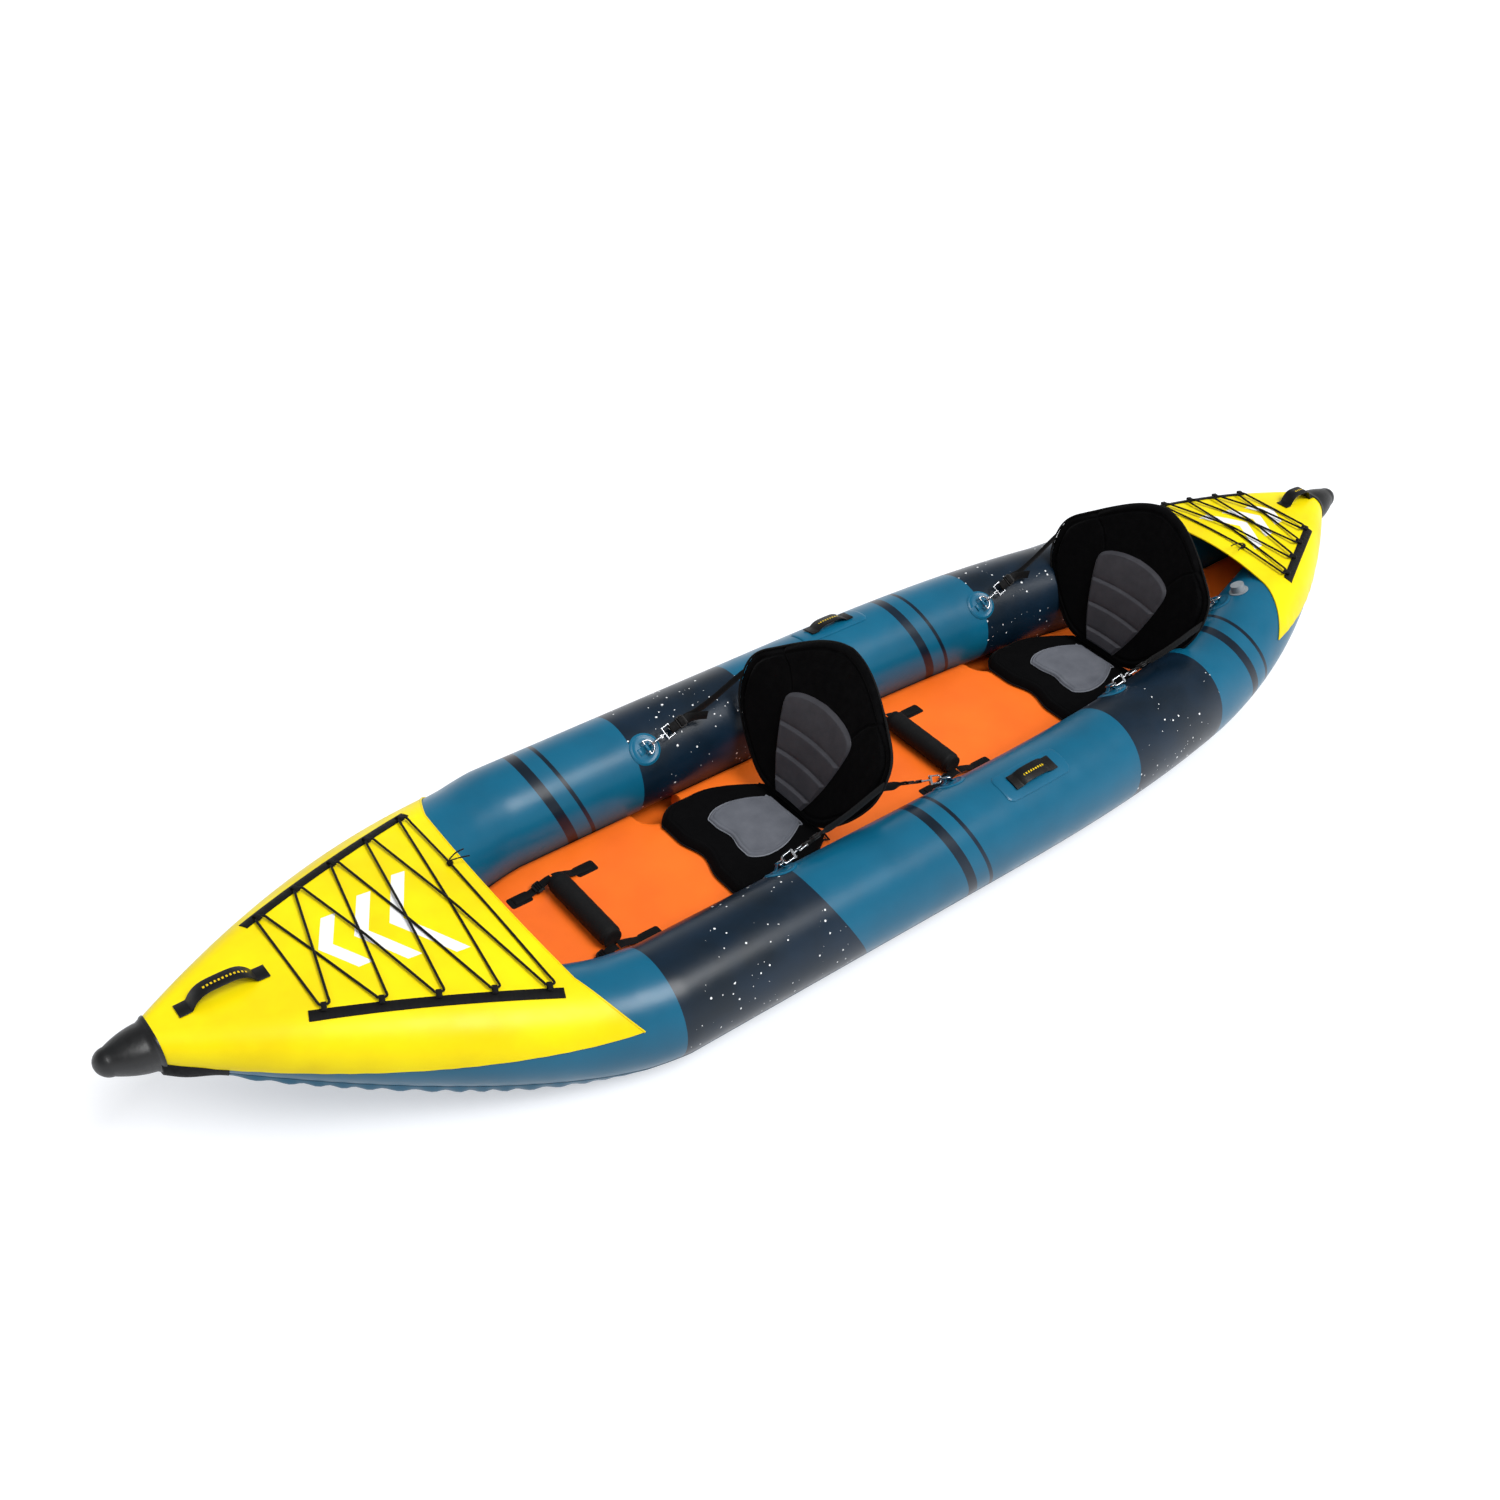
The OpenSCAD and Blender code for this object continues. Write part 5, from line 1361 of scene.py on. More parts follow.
@dataclass
class DeckLacing:
    """The rails, loops and elastic cord on a deck."""

    deck: SprayDeck
    rail_nose: tuple[float, float]
    rail_edge: tuple[float, float]
    loops: int
    rail_w: float = 0.026
    rail_t: float = 0.003
    rail_round: float = 0.002
    # Share of the rail's length that it goes on past its last loop
    loop_margin: float = 0.06
    loop_w: float = 0.012
    loop_depth: float = 0.022
    loop_t: float = 0.0016
    cord_d: float = 0.006
    cord_gap: float = 0.0015
    # How far the cord comes inboard, and along the rail, before it crosses the deck
    turn_in: float = 0.006
    turn_out: float = 0.005
    # Point of its span that the knot sits on, and length of the knot's tails
    knot_at: int = 7
    tail: float = 0.045
    wrap_d: float = 0.004
    wrap_gap: float = 0.0008
    wrap_aside: float = 0.0022

    @property
    def loop_h(self) -> float:
        """Height of a loop."""
        return self.cord_d + 2 * self.loop_t + 1.3 * MM

    @property
    def loop_lift(self) -> float:
        """Height of a loop's underside above the deck."""
        return HULL.form_gap + self.rail_t + 0.15 * MM

    def rail_point(self, t: float, inboard: float) -> Point:
        """Point of the deck at the port rail.

        Args:
            t: 0 at the rail's nose end, 1 at its cockpit end.
            inboard: distance from the rail's middle line towards the centreline.

        Returns:
            The point.
        """
        nose = np.array(self.rail_nose)
        edge = np.array(self.rail_edge)
        run = unit(edge - nose)
        inner = np.array([-self.deck.end.value * abs(run[1]), -abs(run[0])])
        return self.deck.on_top(nose + (edge - nose) * t + inner * inboard)

    def loop_frame(self, i: int) -> tuple[Point, Point, Point, Point]:
        """Frame of a port loop.

        Args:
            i: the loop's number, from the nose.

        Returns:
            Its middle, and its directions inboard, along the rail and out of the deck.
        """
        t = self.loop_margin + (1 - 2 * self.loop_margin) * i / (self.loops - 1)
        half = self.rail_w / 2
        inboard = unit(self.rail_point(t, self.rail_w) - self.rail_point(t, 0.0))
        along = unit(self.rail_point(t + 0.04, half) - self.rail_point(t - 0.04, half))
        out = -self.deck.end.value * unit(np.cross(inboard, along))
        return self.rail_point(t, half) + out * (self.loop_lift + self.loop_h / 2), inboard, along, out

    def cord_in_loop(self, side: Side, i: int, along: float, inboard: float) -> Point:
        """Centre of the cord near a loop.

        Args:
            side: the side of the boat.
            i: the loop's number.
            along: distance along the rail from the loop's middle.
            inboard: distance inboard of the cord's seat in the loop.

        Returns:
            The point.
        """
        middle, inner, run, _ = self.loop_frame(i)
        seat = self.loop_depth / 2 - self.loop_t - self.cord_d / 2 - 3 * HULL.fit_gap
        return (middle + inner * (seat + inboard) + run * along) * side.mirror

    def span(self, start: Point, stop: Point, shares: Point, rises: Point) -> list[Point]:
        """Points of the cord between two loops, taut over the deck.

        Args:
            start: where it leaves a loop.
            stop: where it comes to the next loop.
            shares: places of the points along the span.
            rises: extra height at each of them.

        Returns:
            The points.
        """
        shares = np.array([0.0, *shares, 1.0])
        points = start + (stop - start) * shares[:, None]
        for p, rise in zip(points[1:-1], rises):
            p[2] = self.deck.top(p[0], p[1]) + self.cord_d / 2 + self.cord_gap + rise
        height = points[:, 2]
        held: list[int] = []
        for k in range(len(shares)):
            while len(held) > 1:
                i, j = held[-2:]
                share = (shares[j] - shares[i]) / (shares[k] - shares[i])
                if height[j] > height[i] + (height[k] - height[i]) * share:
                    break
                held.pop()
            held.append(k)
        points[:, 2] = np.interp(shares, shares[held], height[held])
        return list(points[1:-1])

    def lacing(self) -> tuple[Point, Point]:
        """Route of the cord through all loops.

        Returns:
            The points of the closed route, and the point where the knot sits.
        """
        n = self.loops
        port_first = (Side.PORT, Side.STARBOARD)
        stops = [(port_first[1 - i % 2], i, 1) for i in range(n)]
        stops += [(port_first[i % 2], i, -1) for i in range(n - 1, -1, -1)]
        shares = np.linspace(0.04, 0.96, 24)
        leave = self.loop_w / 2 + 1 * MM
        out = leave + self.turn_out
        over_knot = (self.wrap_d + self.wrap_gap) * np.maximum(0.0, 1 - np.abs(shares - 0.3) / 0.15)
        over_cord = (self.cord_d + 1 * MM) * np.maximum(0.0, 1 - np.abs(shares - 0.5) / 0.3)
        points: list[Point] = []
        knot = np.zeros(3)
        for k, (side, i, way) in enumerate(stops):
            next_side, next_i, next_way = stops[(k + 1) % len(stops)]
            start = self.cord_in_loop(side, i, way * out, self.turn_in)
            stop = self.cord_in_loop(next_side, next_i, -next_way * out, self.turn_in)
            points.append(self.cord_in_loop(side, i, -way * out, self.turn_in))
            points.append(self.cord_in_loop(side, i, -way * leave, 0.0))
            points.append(self.cord_in_loop(side, i, way * leave, 0.0))
            points.append(start)
            rises = 0 * shares
            if k == n - 1:
                rises = over_knot
            elif n <= k < len(stops) - 1:
                rises = over_cord
            run = self.span(start, stop, shares, rises)
            if k == n - 1:
                knot = run[self.knot_at]
            points += run
        return np.array(points), knot

    def build(self) -> None:
        """Builds the rails with their loops, and the cord with its knot."""
        name = self.deck.end.label
        rails = Shape()
        for side in Side:
            self.rail(rails, side)
            for i in range(self.loops):
                self.loop(rails, side, i)
        rails.place(f"{name}_deck_rails", WEBBING, "black_webbing", f"{name}_rails")
        route, knot = self.lacing()
        cord = Shape()
        cord.cord(curve_through(route, 5, closed=True), self.cord_d / 2, 10, closed=True)
        turn = full_turn(32)
        ring_r = self.cord_d / 2 + self.wrap_d / 2 + self.wrap_gap
        ring = np.stack([ring_r * np.cos(turn), 0 * turn, ring_r * np.sin(turn)], -1)
        tail_r = self.cord_d * 0.3
        tail_z = ring_r + self.wrap_d / 2 + 0.3 * MM + tail_r
        back = -self.deck.end.value * self.tail
        for way in (-1, 1):
            middle = knot + ACROSS * way * self.wrap_aside
            cord.cord(middle + ring, self.wrap_d / 2, 10, closed=True)
            start = middle + UP * tail_z
            bend = start + np.array([back * 0.5, way * 8 * MM, 3 * MM])
            tip = start + np.array([back, way * 12 * MM, 0.0])
            cord.cord(curve_through([start, bend, tip], 8), tail_r, 8)
        cord.place(f"{name}_lacing_cord", BRAID, "black_webbing", f"{name}_bungee")

    def rail(self, shape: Shape, side: Side) -> None:
        """Adds a rail.

        Args:
            shape: the mesh that the rail goes into.
            side: the side of the boat.
        """
        half = self.rail_w / 2
        flat = half - self.rail_round
        section = [(-half, 0.0), (-half, 0.55), (-flat, 1.0), (0.0, 1.0), (flat, 1.0), (half, 0.55),
                   (half, 0.0)]
        t = np.linspace(0, 1, 41)
        points = np.array([[self.rail_point(share, inboard) for inboard, _ in section] for share in t])
        points[..., 2] += HULL.form_gap * 0.5 + self.rail_t * np.array([rise for _, rise in section])
        length = float(np.linalg.norm(np.array(self.rail_edge) - np.array(self.rail_nose)))
        uv = pairs(t * length, np.linspace(0, self.rail_w, len(section) + 1))
        shape.grid(points * side.mirror, uv, close_cols=True, lids=BOTH_ENDS)

    def loop(self, shape: Shape, side: Side, i: int) -> None:
        """Adds a webbing loop on a rail's inner edge.

        Args:
            shape: the mesh that the loop goes into.
            side: the side of the boat.
            i: the loop's number.
        """
        middle, inner, along, out = self.loop_frame(i)
        flat = (self.loop_depth - self.loop_h) / 2
        r = (self.loop_h - self.loop_t) / 2
        path = []
        for way, start in ((1, -90), (-1, 90)):
            for a in np.radians(np.linspace(start, start + 180, 10)):
                path.append(middle + (inner * (way * flat + r * math.cos(a)) + out * (r * math.sin(a))))
        shape.ribbon(np.array(path) * side.mirror, along * side.mirror, self.loop_w, self.loop_t, closed=True)


STRAP_W = 0.025
STRAP_T = 0.002
# Height of a seat's base above the floor
BASE_T = 0.028


@dataclass(frozen=True)
class Cushion:
    """A flat cushion of a seat: its plan from back to front, its shell, its sewn groove and its piping."""

    name: str
    piping_name: str
    cloth: Finish
    tape: Finish
    # Height of its underside, and place of its back edge from the seat's place
    floor: float
    start: float
    length: float
    half: float
    back_half: float
    # Share of the length where it has its full width, and share and strength of the narrowing at its front
    full: float
    front: float
    nip: float
    # Depth of the dip in its front edge, and reach of the dip as a share of the half width
    dip: float
    dip_reach: float
    # Steps of the shell's grid, heights of its rim and crown, width of its rounding, depth below the floor
    steps: int
    rim_h: float
    crown_h: float
    edge_w: float
    sunk: float
    # Size of the even mesh, and how far the pressure may move its points
    voxel: float
    cap: float
    # Distance of the sewn groove from the edge, its width and depth, and where the upper face begins
    groove_in: float
    groove_w: float
    groove_d: float
    face_from: float
    lowest: float
    highest: float
    piping_h: float
    piping_r: float

    def width(self, u: Values) -> Values:
        """Half width along the cushion.

        Args:
            u: place from 0 at the back to 1 at the front.

        Returns:
            The half width.
        """
        swelled = np.sin(np.pi / 2 * np.minimum(1, u / self.full))
        narrowed = np.sqrt(1 - self.nip * (np.maximum(0, u - (1 - self.front)) / self.front) ** 2)
        return (self.back_half + (self.half - self.back_half) * swelled) * narrowed

    def reach(self, v: Values) -> Values:
        """Length, v across the cushion."""
        return self.length - self.dip * np.cos(np.pi / 2 * np.minimum(1, np.abs(v) / self.dip_reach)) ** 2

    def outline(self, seat_x: float) -> Point:
        """Closed outline in the boat's plan.

        Args:
            seat_x: the seat's place.

        Returns:
            The points of the outline.
        """
        u = np.linspace(0, 1, 40)
        v = np.linspace(1, -1, 40)
        port = np.stack([self.reach(1.0) * u + self.start, self.width(u)], -1)
        front = np.stack([self.reach(v) + self.start, v * self.width(1.0)], -1)
        line = np.vstack([port, front[1:-1], port[::-1] * Side.STARBOARD.mirror[:2]])
        return line + np.array([seat_x, 0.0])

    def build(self, seat: "Seat") -> bpy.types.Object:
        """Builds the cushion, blown up and sewn.

        Args:
            seat: the seat that it belongs to.

        Returns:
            The cushion.
        """
        u, v = np.meshgrid(np.linspace(0, 1, self.steps), np.linspace(-1, 1, self.steps + 1), indexing="ij")
        reach = self.reach(v)
        width = self.width(u)
        rim = np.minimum.reduce([(1 - np.abs(v)) * width, u * reach, (1 - u) * reach])
        rise = self.rim_h + (self.crown_h - self.rim_h) * soft_edge(rim, self.edge_w)
        upper = np.stack([seat.place + (reach * u + self.start), v * width, self.floor + rise], -1)
        lower = upper.copy()
        lower[..., 2] = self.floor - self.sunk
        shape = Shape()
        shape.slab(upper, lower)
        name = f"{seat.name}_{self.name}"
        piece = swell(shape.build(f"{name}_shell", self.cloth), name, self.cloth, self.voxel, self.cap, UP)
        points = vertex_array(piece.data)
        z = points[:, 2]
        away = line_distance(points[:, :2], self.outline(seat.place))
        z -= self.groove_d * groove(away - self.groove_in, self.groove_w) * (z > self.floor + self.face_from)
        points[:, 2] = np.clip(z, self.floor + self.lowest, self.floor + self.highest)
        move_vertices(piece.data, points)
        return piece

    def piping(self, seat: "Seat") -> bpy.types.Object:
        """Builds the piping round the cushion.

        Args:
            seat: the seat that it belongs to.

        Returns:
            The piping.
        """
        line = self.outline(seat.place)[::2]
        path = np.column_stack([line, np.full(len(line), self.floor + self.piping_h)])
        shape = Shape()
        shape.cord(curve_through(path, 3, closed=True), self.piping_r, 10, closed=True)
        return shape.build(f"{seat.name}_{self.piping_name}", self.tape)


SEAT_BASE = Cushion(
    "seat_cushion", "seat_piping", KNIT, PIPING, floor=HULL.floor_top + HULL.fit_gap, start=-0.08,
    length=0.33, half=0.212, back_half=0.12, full=0.62, front=0.25, nip=0.45, dip=0.02, dip_reach=0.55,
    steps=60, rim_h=0.007, crown_h=0.025, edge_w=0.024, sunk=0.0, voxel=0.005, cap=0.005,
    groove_in=0.022, groove_w=0.004, groove_d=0.0035, face_from=0.0126, lowest=0.0, highest=0.0278,
    piping_h=0.0062, piping_r=0.0026)
SEAT_PAD = Cushion(
    "seat_mesh_pad", "seat_pad_piping", GREY_MESH, GREY_PIPING,
    floor=HULL.floor_top + 2 * HULL.fit_gap + BASE_T, start=-0.041,
    length=0.193, half=0.112, back_half=0.062, full=0.65, front=0.3, nip=0.4, dip=0.01, dip_reach=0.6,
    steps=50, rim_h=0.0045, crown_h=0.0085, edge_w=0.022, sunk=0.004, voxel=0.004, cap=0.003,
    groove_in=0.010, groove_w=0.003, groove_d=0.003, face_from=0.003, lowest=-0.006, highest=0.010,
    piping_h=0.0015, piping_r=0.0018)
# Slot of each piece of a seat, the solid that it stands for, its fill if it is padded, and whether it folds
SEAT_PARTS = (
    ("black_fabric", "seat_base", 0.8, False), ("black_fabric", None, None, False),
    ("grey_fabric", "seat_pad", 0.7, False), ("grey_fabric", None, None, False),
    ("black_fabric", "seat_hinge", None, False),
    ("black_fabric", "backrest", 0.8, True), ("black_fabric", None, None, True),
    ("grey_fabric", "backrest_insert", 0.8, True))


@dataclass
class Seat:
    """A folding kayak seat: a padded base and backrest with a sewn outline, a pad and a ribbed insert."""

    name: str
    place: float
    back_half: float = 0.286
    back_t: float = 0.028
    back_rim_t: float = 0.010
    back_edge_w: float = 0.026
    # Distance of the sewn hem from the edge, widths of hem and seams, and their depth in front and behind
    hem_in: float = 0.022
    hem_w: float = 0.005
    seam_w: float = 0.006
    front_d: float = 0.006
    behind_d: float = 0.003
    wing_curve: float = 0.04
    lean: float = math.radians(22.0)
    hinge_back: float = 0.055
    hinge_d: float = 0.008
    hinge_length: float = 0.12
    insert_t: float = 0.0095
    # Heights above the hinge where one rib of the insert ends and the next begins
    rib_edges: tuple[float, ...] = (0.062, 0.134, 0.208)
    # How far the ribs arch up at the given distance from the centreline
    rib_arch: float = 0.010
    rib_half: float = 0.13
    rib_bevel: float = 0.009
    # Heights above the hinge and half widths there, of the backrest and of its insert
    back_edge: tuple[tuple[float, float], ...] = (
        (0.004, 0.082), (0.014, 0.118), (0.030, 0.148), (0.050, 0.172), (0.075, 0.198), (0.105, 0.225),
        (0.145, 0.254), (0.185, 0.276), (0.220, 0.286), (0.255, 0.289), (0.290, 0.285), (0.315, 0.274),
        (0.335, 0.257), (0.355, 0.232), (0.375, 0.206), (0.395, 0.180), (0.415, 0.152), (0.435, 0.122),
        (0.452, 0.092), (0.465, 0.062), (0.474, 0.032), (0.479, 0.0))
    insert_edge: tuple[tuple[float, float], ...] = (
        (0.021, 0.052), (0.040, 0.063), (0.065, 0.076), (0.118, 0.098), (0.180, 0.117), (0.230, 0.129),
        (0.256, 0.132), (0.274, 0.127), (0.289, 0.110), (0.301, 0.082), (0.309, 0.045), (0.313, 0.0))
    # Places across and up of the port groove that parts the top of the backrest from its wing
    seam: tuple[tuple[float, float], ...] = (
        (0.122, 0.288), (0.136, 0.314), (0.156, 0.342), (0.190, 0.366), (0.222, 0.378))

    @property
    def back_body(self) -> str:
        """Name of the body that folds."""
        return f"{self.name}_backrest_body"

    @property
    def hinge_z(self) -> float:
        """Height of the fabric hinge."""
        return HULL.floor_top + BASE_T + self.hinge_d / 2 + 2 * HULL.fit_gap

    @property
    def forward(self) -> Point:
        """Direction out of the front of the backrest."""
        return np.array([math.cos(self.lean), 0.0, math.sin(self.lean)])

    @property
    def upward(self) -> Point:
        """Direction up along the backrest."""
        return np.array([-math.sin(self.lean), 0.0, math.cos(self.lean)])

    def wing(self, y: Values) -> Values:
        """How far the backrest curves forward at a distance from the centreline."""
        return self.wing_curve * (y / self.back_half) ** 2

    def back_place(self, y: Values, s: Values, f: Values) -> Point:
        """Place in the boat of a point of the backrest.

        Args:
            y: place across the boat.
            s: distance from the hinge up along the lean.
            f: distance forward out of the backrest's plane.

        Returns:
            The point or points.
        """
        x = self.place - self.hinge_back - s * math.sin(self.lean) + f * math.cos(self.lean)
        z = self.hinge_z + s * math.cos(self.lean) + f * math.sin(self.lean)
        return np.stack(np.broadcast_arrays(x, y, z), -1)

    def half_widths(self, edge: Sequence[tuple[float, float]], rows: int) -> tuple[Point, Point]:
        """Half widths of an outline at heights that lie closer together at its foot and top.

        Args:
            edge: heights and half widths that the outline passes through.
            rows: how many heights.

        Returns:
            The heights and the half widths.
        """
        fine = curve_through([(s, w, 0.0) for s, w in edge], 8)
        turn = np.linspace(0, np.pi, rows)
        heights = edge[0][0] + (edge[-1][0] - edge[0][0]) * (1 - np.cos(turn)) / 2
        return heights, np.maximum(0.0, np.interp(heights, fine[:, 0], fine[:, 1]))

    def outline(self, edge: Sequence[tuple[float, float]]) -> Point:
        """Closed outline across and up, from the port side of the foot over the top to the starboard side.

        Args:
            edge: heights and half widths that the outline passes through.

        Returns:
            The points across and up.
        """
        heights, half = self.half_widths(edge, 90)
        port = np.stack([half, heights], -1)
        foot = half[0] * np.linspace(-1, 1, 9)[1:-1]
        starboard = port[-2::-1] * Side.STARBOARD.mirror[1:]
        return np.vstack([port, starboard, np.stack([foot, 0 * foot + heights[0]], -1)])

    def panel(self, edge: Sequence[tuple[float, float]], rows: int) -> tuple[Point, Point, Point]:
        """Grid over a part of the backrest.

        Args:
            edge: heights and half widths that its outline passes through.
            rows: how many rows the grid has.

        Returns:
            Places across, places up and distances from the outline.
        """
        heights, half = self.half_widths(edge, rows)
        y = half[:, None] * np.linspace(-1, 1, 81)
        s = np.broadcast_to(heights[:, None], y.shape)
        rim = line_distance(np.stack([y, s], -1).reshape(-1, 2), self.outline(edge))
        return y, s, rim.reshape(y.shape)

    def back(self) -> bpy.types.Object:
        """Builds the padded backrest with its sewn grooves.

        Returns:
            The backrest.
        """
        y, s, rim = self.panel(self.back_edge, 110)
        thick = self.back_rim_t + (self.back_t - self.back_rim_t) * soft_edge(rim, self.back_edge_w)
        half_t = thick / 2 - 2 * MM
        shape = Shape()
        shape.slab(self.back_place(y, s, self.wing(y) + half_t), self.back_place(y, s, self.wing(y) - half_t))
        name = f"{self.name}_back_cushion"
        piece = swell(shape.build(f"{name}_shell", KNIT), name, KNIT, 5 * MM, 5 * MM, self.forward)
        points = vertex_array(piece.data)
        across = points[:, 1]
        from_hinge = points - np.array([self.place - self.hinge_back, 0.0, self.hinge_z])
        up = from_hinge @ self.upward
        plane = np.stack([across, up], -1)
        hem = groove(line_distance(plane, self.outline(self.back_edge)) - self.hem_in, self.hem_w)
        sewn = hem
        for side in Side:
            near = line_distance(plane, np.array(self.seam) * side.mirror[1:], False)
            sewn = np.maximum(sewn, groove(near, self.seam_w))
        level = from_hinge @ self.forward - self.wing(across)
        front = smooth((level + 1 * MM) / (4 * MM))
        behind = smooth((-level + 1 * MM) / (4 * MM))
        level = level - self.front_d * sewn * front + self.behind_d * hem * behind
        level = np.clip(level, -self.back_t / 2, self.back_t / 2)
        move_vertices(piece.data, self.back_place(across, up, self.wing(across) + level))
        return piece

    def insert(self) -> bpy.types.Object:
        """Builds the insert of the backrest: a framed panel with ribs, each with a bevel along its top.

        Returns:
            The insert.
        """
        y, s, rim = self.panel(self.insert_edge, 260)
        arched = s + self.rib_arch * (y / self.rib_half) ** 2
        frame_w = (6 + 5 * smooth((s - 0.24) / 0.05)) * MM
        rise = np.clip((rim - 1 * MM) / frame_w, 0, 1)
        crests = self.rib_edges + (self.insert_edge[-1][0] + self.rib_arch,)
        for foot, crest in zip((0.0,) + self.rib_edges, crests):
            bevel = np.clip((crest - arched) / self.rib_bevel, 0, 1)
            slope = 0.1 + 0.9 * np.clip((arched - foot) / (crest - self.rib_bevel - foot), 0, 1) ** 0.5
            inside = (arched >= foot) & (arched < crest)
            rise = np.where(inside, np.minimum(rise, bevel * slope), rise)
        base = self.wing(y) + self.back_t / 2
        upper = self.back_place(y, s, base + HULL.form_gap + self.insert_t * (0.08 + 0.92 * rise))
        shape = Shape()
        shape.slab(upper, self.back_place(y, s, base - 3 * MM))
        return shape.build(f"{self.name}_back_ribbed_insert", DARK_MESH, 70.0)

    def back_piping(self) -> bpy.types.Object:
        """Builds the piping round the backrest.

        Returns:
            The piping.
        """
        across, up = self.outline(self.back_edge).T
        shape = Shape()
        shape.cord(self.back_place(across, up, self.wing(across)), 3 * MM, 10, closed=True)
        return shape.build(f"{self.name}_back_piping", PIPING)

    def hinge(self) -> bpy.types.Object:
        """Builds the rolled cloth hinge between the base and the backrest.

        Returns:
            The hinge.
        """
        r = self.hinge_d / 2
        half = self.hinge_length / 2
        profile = [(-half, r * 0.4), (-half + 1 * MM, r * 0.85), (-half + 3 * MM, r)]
        rolled = np.linspace(-half + 4 * MM, half - 4 * MM, 60)
        middle = [(y, r * (0.95 + 0.05 * math.cos(y * 900))) for y in rolled]
        profile += middle + [(-y, wide) for y, wide in profile[::-1]]
        shape = Shape()
        shape.lathe(profile, np.array([self.place - self.hinge_back, 0.0, self.hinge_z]), 20)
        return shape.build(f"{self.name}_seat_hinge_roll", KNIT)

    def build(self) -> list[bpy.types.Object]:
        """Builds the seat's pieces.

        Returns:
            The pieces in the order of SEAT_PARTS.
        """
        base_piping = SEAT_BASE.piping(self)
        pad_piping = SEAT_PAD.piping(self)
        back_piping = self.back_piping()
        return [SEAT_BASE.build(self), base_piping, SEAT_PAD.build(self), pad_piping, self.hinge(),
                self.back(), back_piping, self.insert()]

    def copy_of(self, other: "Seat", pieces: Sequence[bpy.types.Object]) -> list[bpy.types.Object]:
        """Builds this seat as a copy of one of the same form.

        Args:
            other: the seat that is built already.
            pieces: its pieces.

        Returns:
            The copies in the same order.
        """
        copies = []
        for piece in pieces:
            mesh = piece.data.copy()
            mesh.name = piece.name.replace(other.name, self.name, 1)
            mesh.transform(Matrix.Translation((self.place - other.place, 0.0, 0.0)))
            copies.append(link_object(mesh.name, mesh))
        return copies

    def dress(self, pieces: Sequence[bpy.types.Object]) -> None:
        """Args:
            pieces: the pieces in the order of SEAT_PARTS.
        """
        for piece, (slot, node, fill, folds) in zip(pieces, SEAT_PARTS):
            nodes = [f"{self.name}_{node}"] if node else []
            place_piece(piece, slot, *nodes, body=self.back_body if folds else "hull")


def ladder_buckle(shape: Shape, middle: Point, run: Point, across: Point, rise: Point) -> None:
    """Adds a ladder buckle for webbing: a rounded frame with two bars, and the lip that loosens it.

    Args:
        shape: the mesh that the buckle goes into.
        middle: its middle.
        run: direction of the webbing.
        across: direction of its width.
        rise: direction out of it.
    """
    half = STRAP_W / 2 + 2.6 * MM
    reach = 9 * MM
    level = 2.2 * MM
    along, aside = rounded_outline(40, (2 * reach, 2 * half), 3 * MM, 3.0)[:, :, None]
    for side in (-1, 1):
        shape.cord(middle + along * run + aside * across + rise * side * level, 1.9 * MM, 8, closed=True)
    for place in (-2.5 * MM, 3.5 * MM):
        bar = middle + run * place + across * np.linspace(-1, 1, 7)[:, None] * half + rise * level
        shape.cord(bar, 1.7 * MM, 8)
    lip = middle + run * (reach + 1 * MM) + rise * 3.4 * MM
    lip = lip + across * np.linspace(-1, 1, 9)[:, None] * half * 0.8
    shape.ribbon(lip, run + rise * 0.5, 7 * MM, 2 * MM)


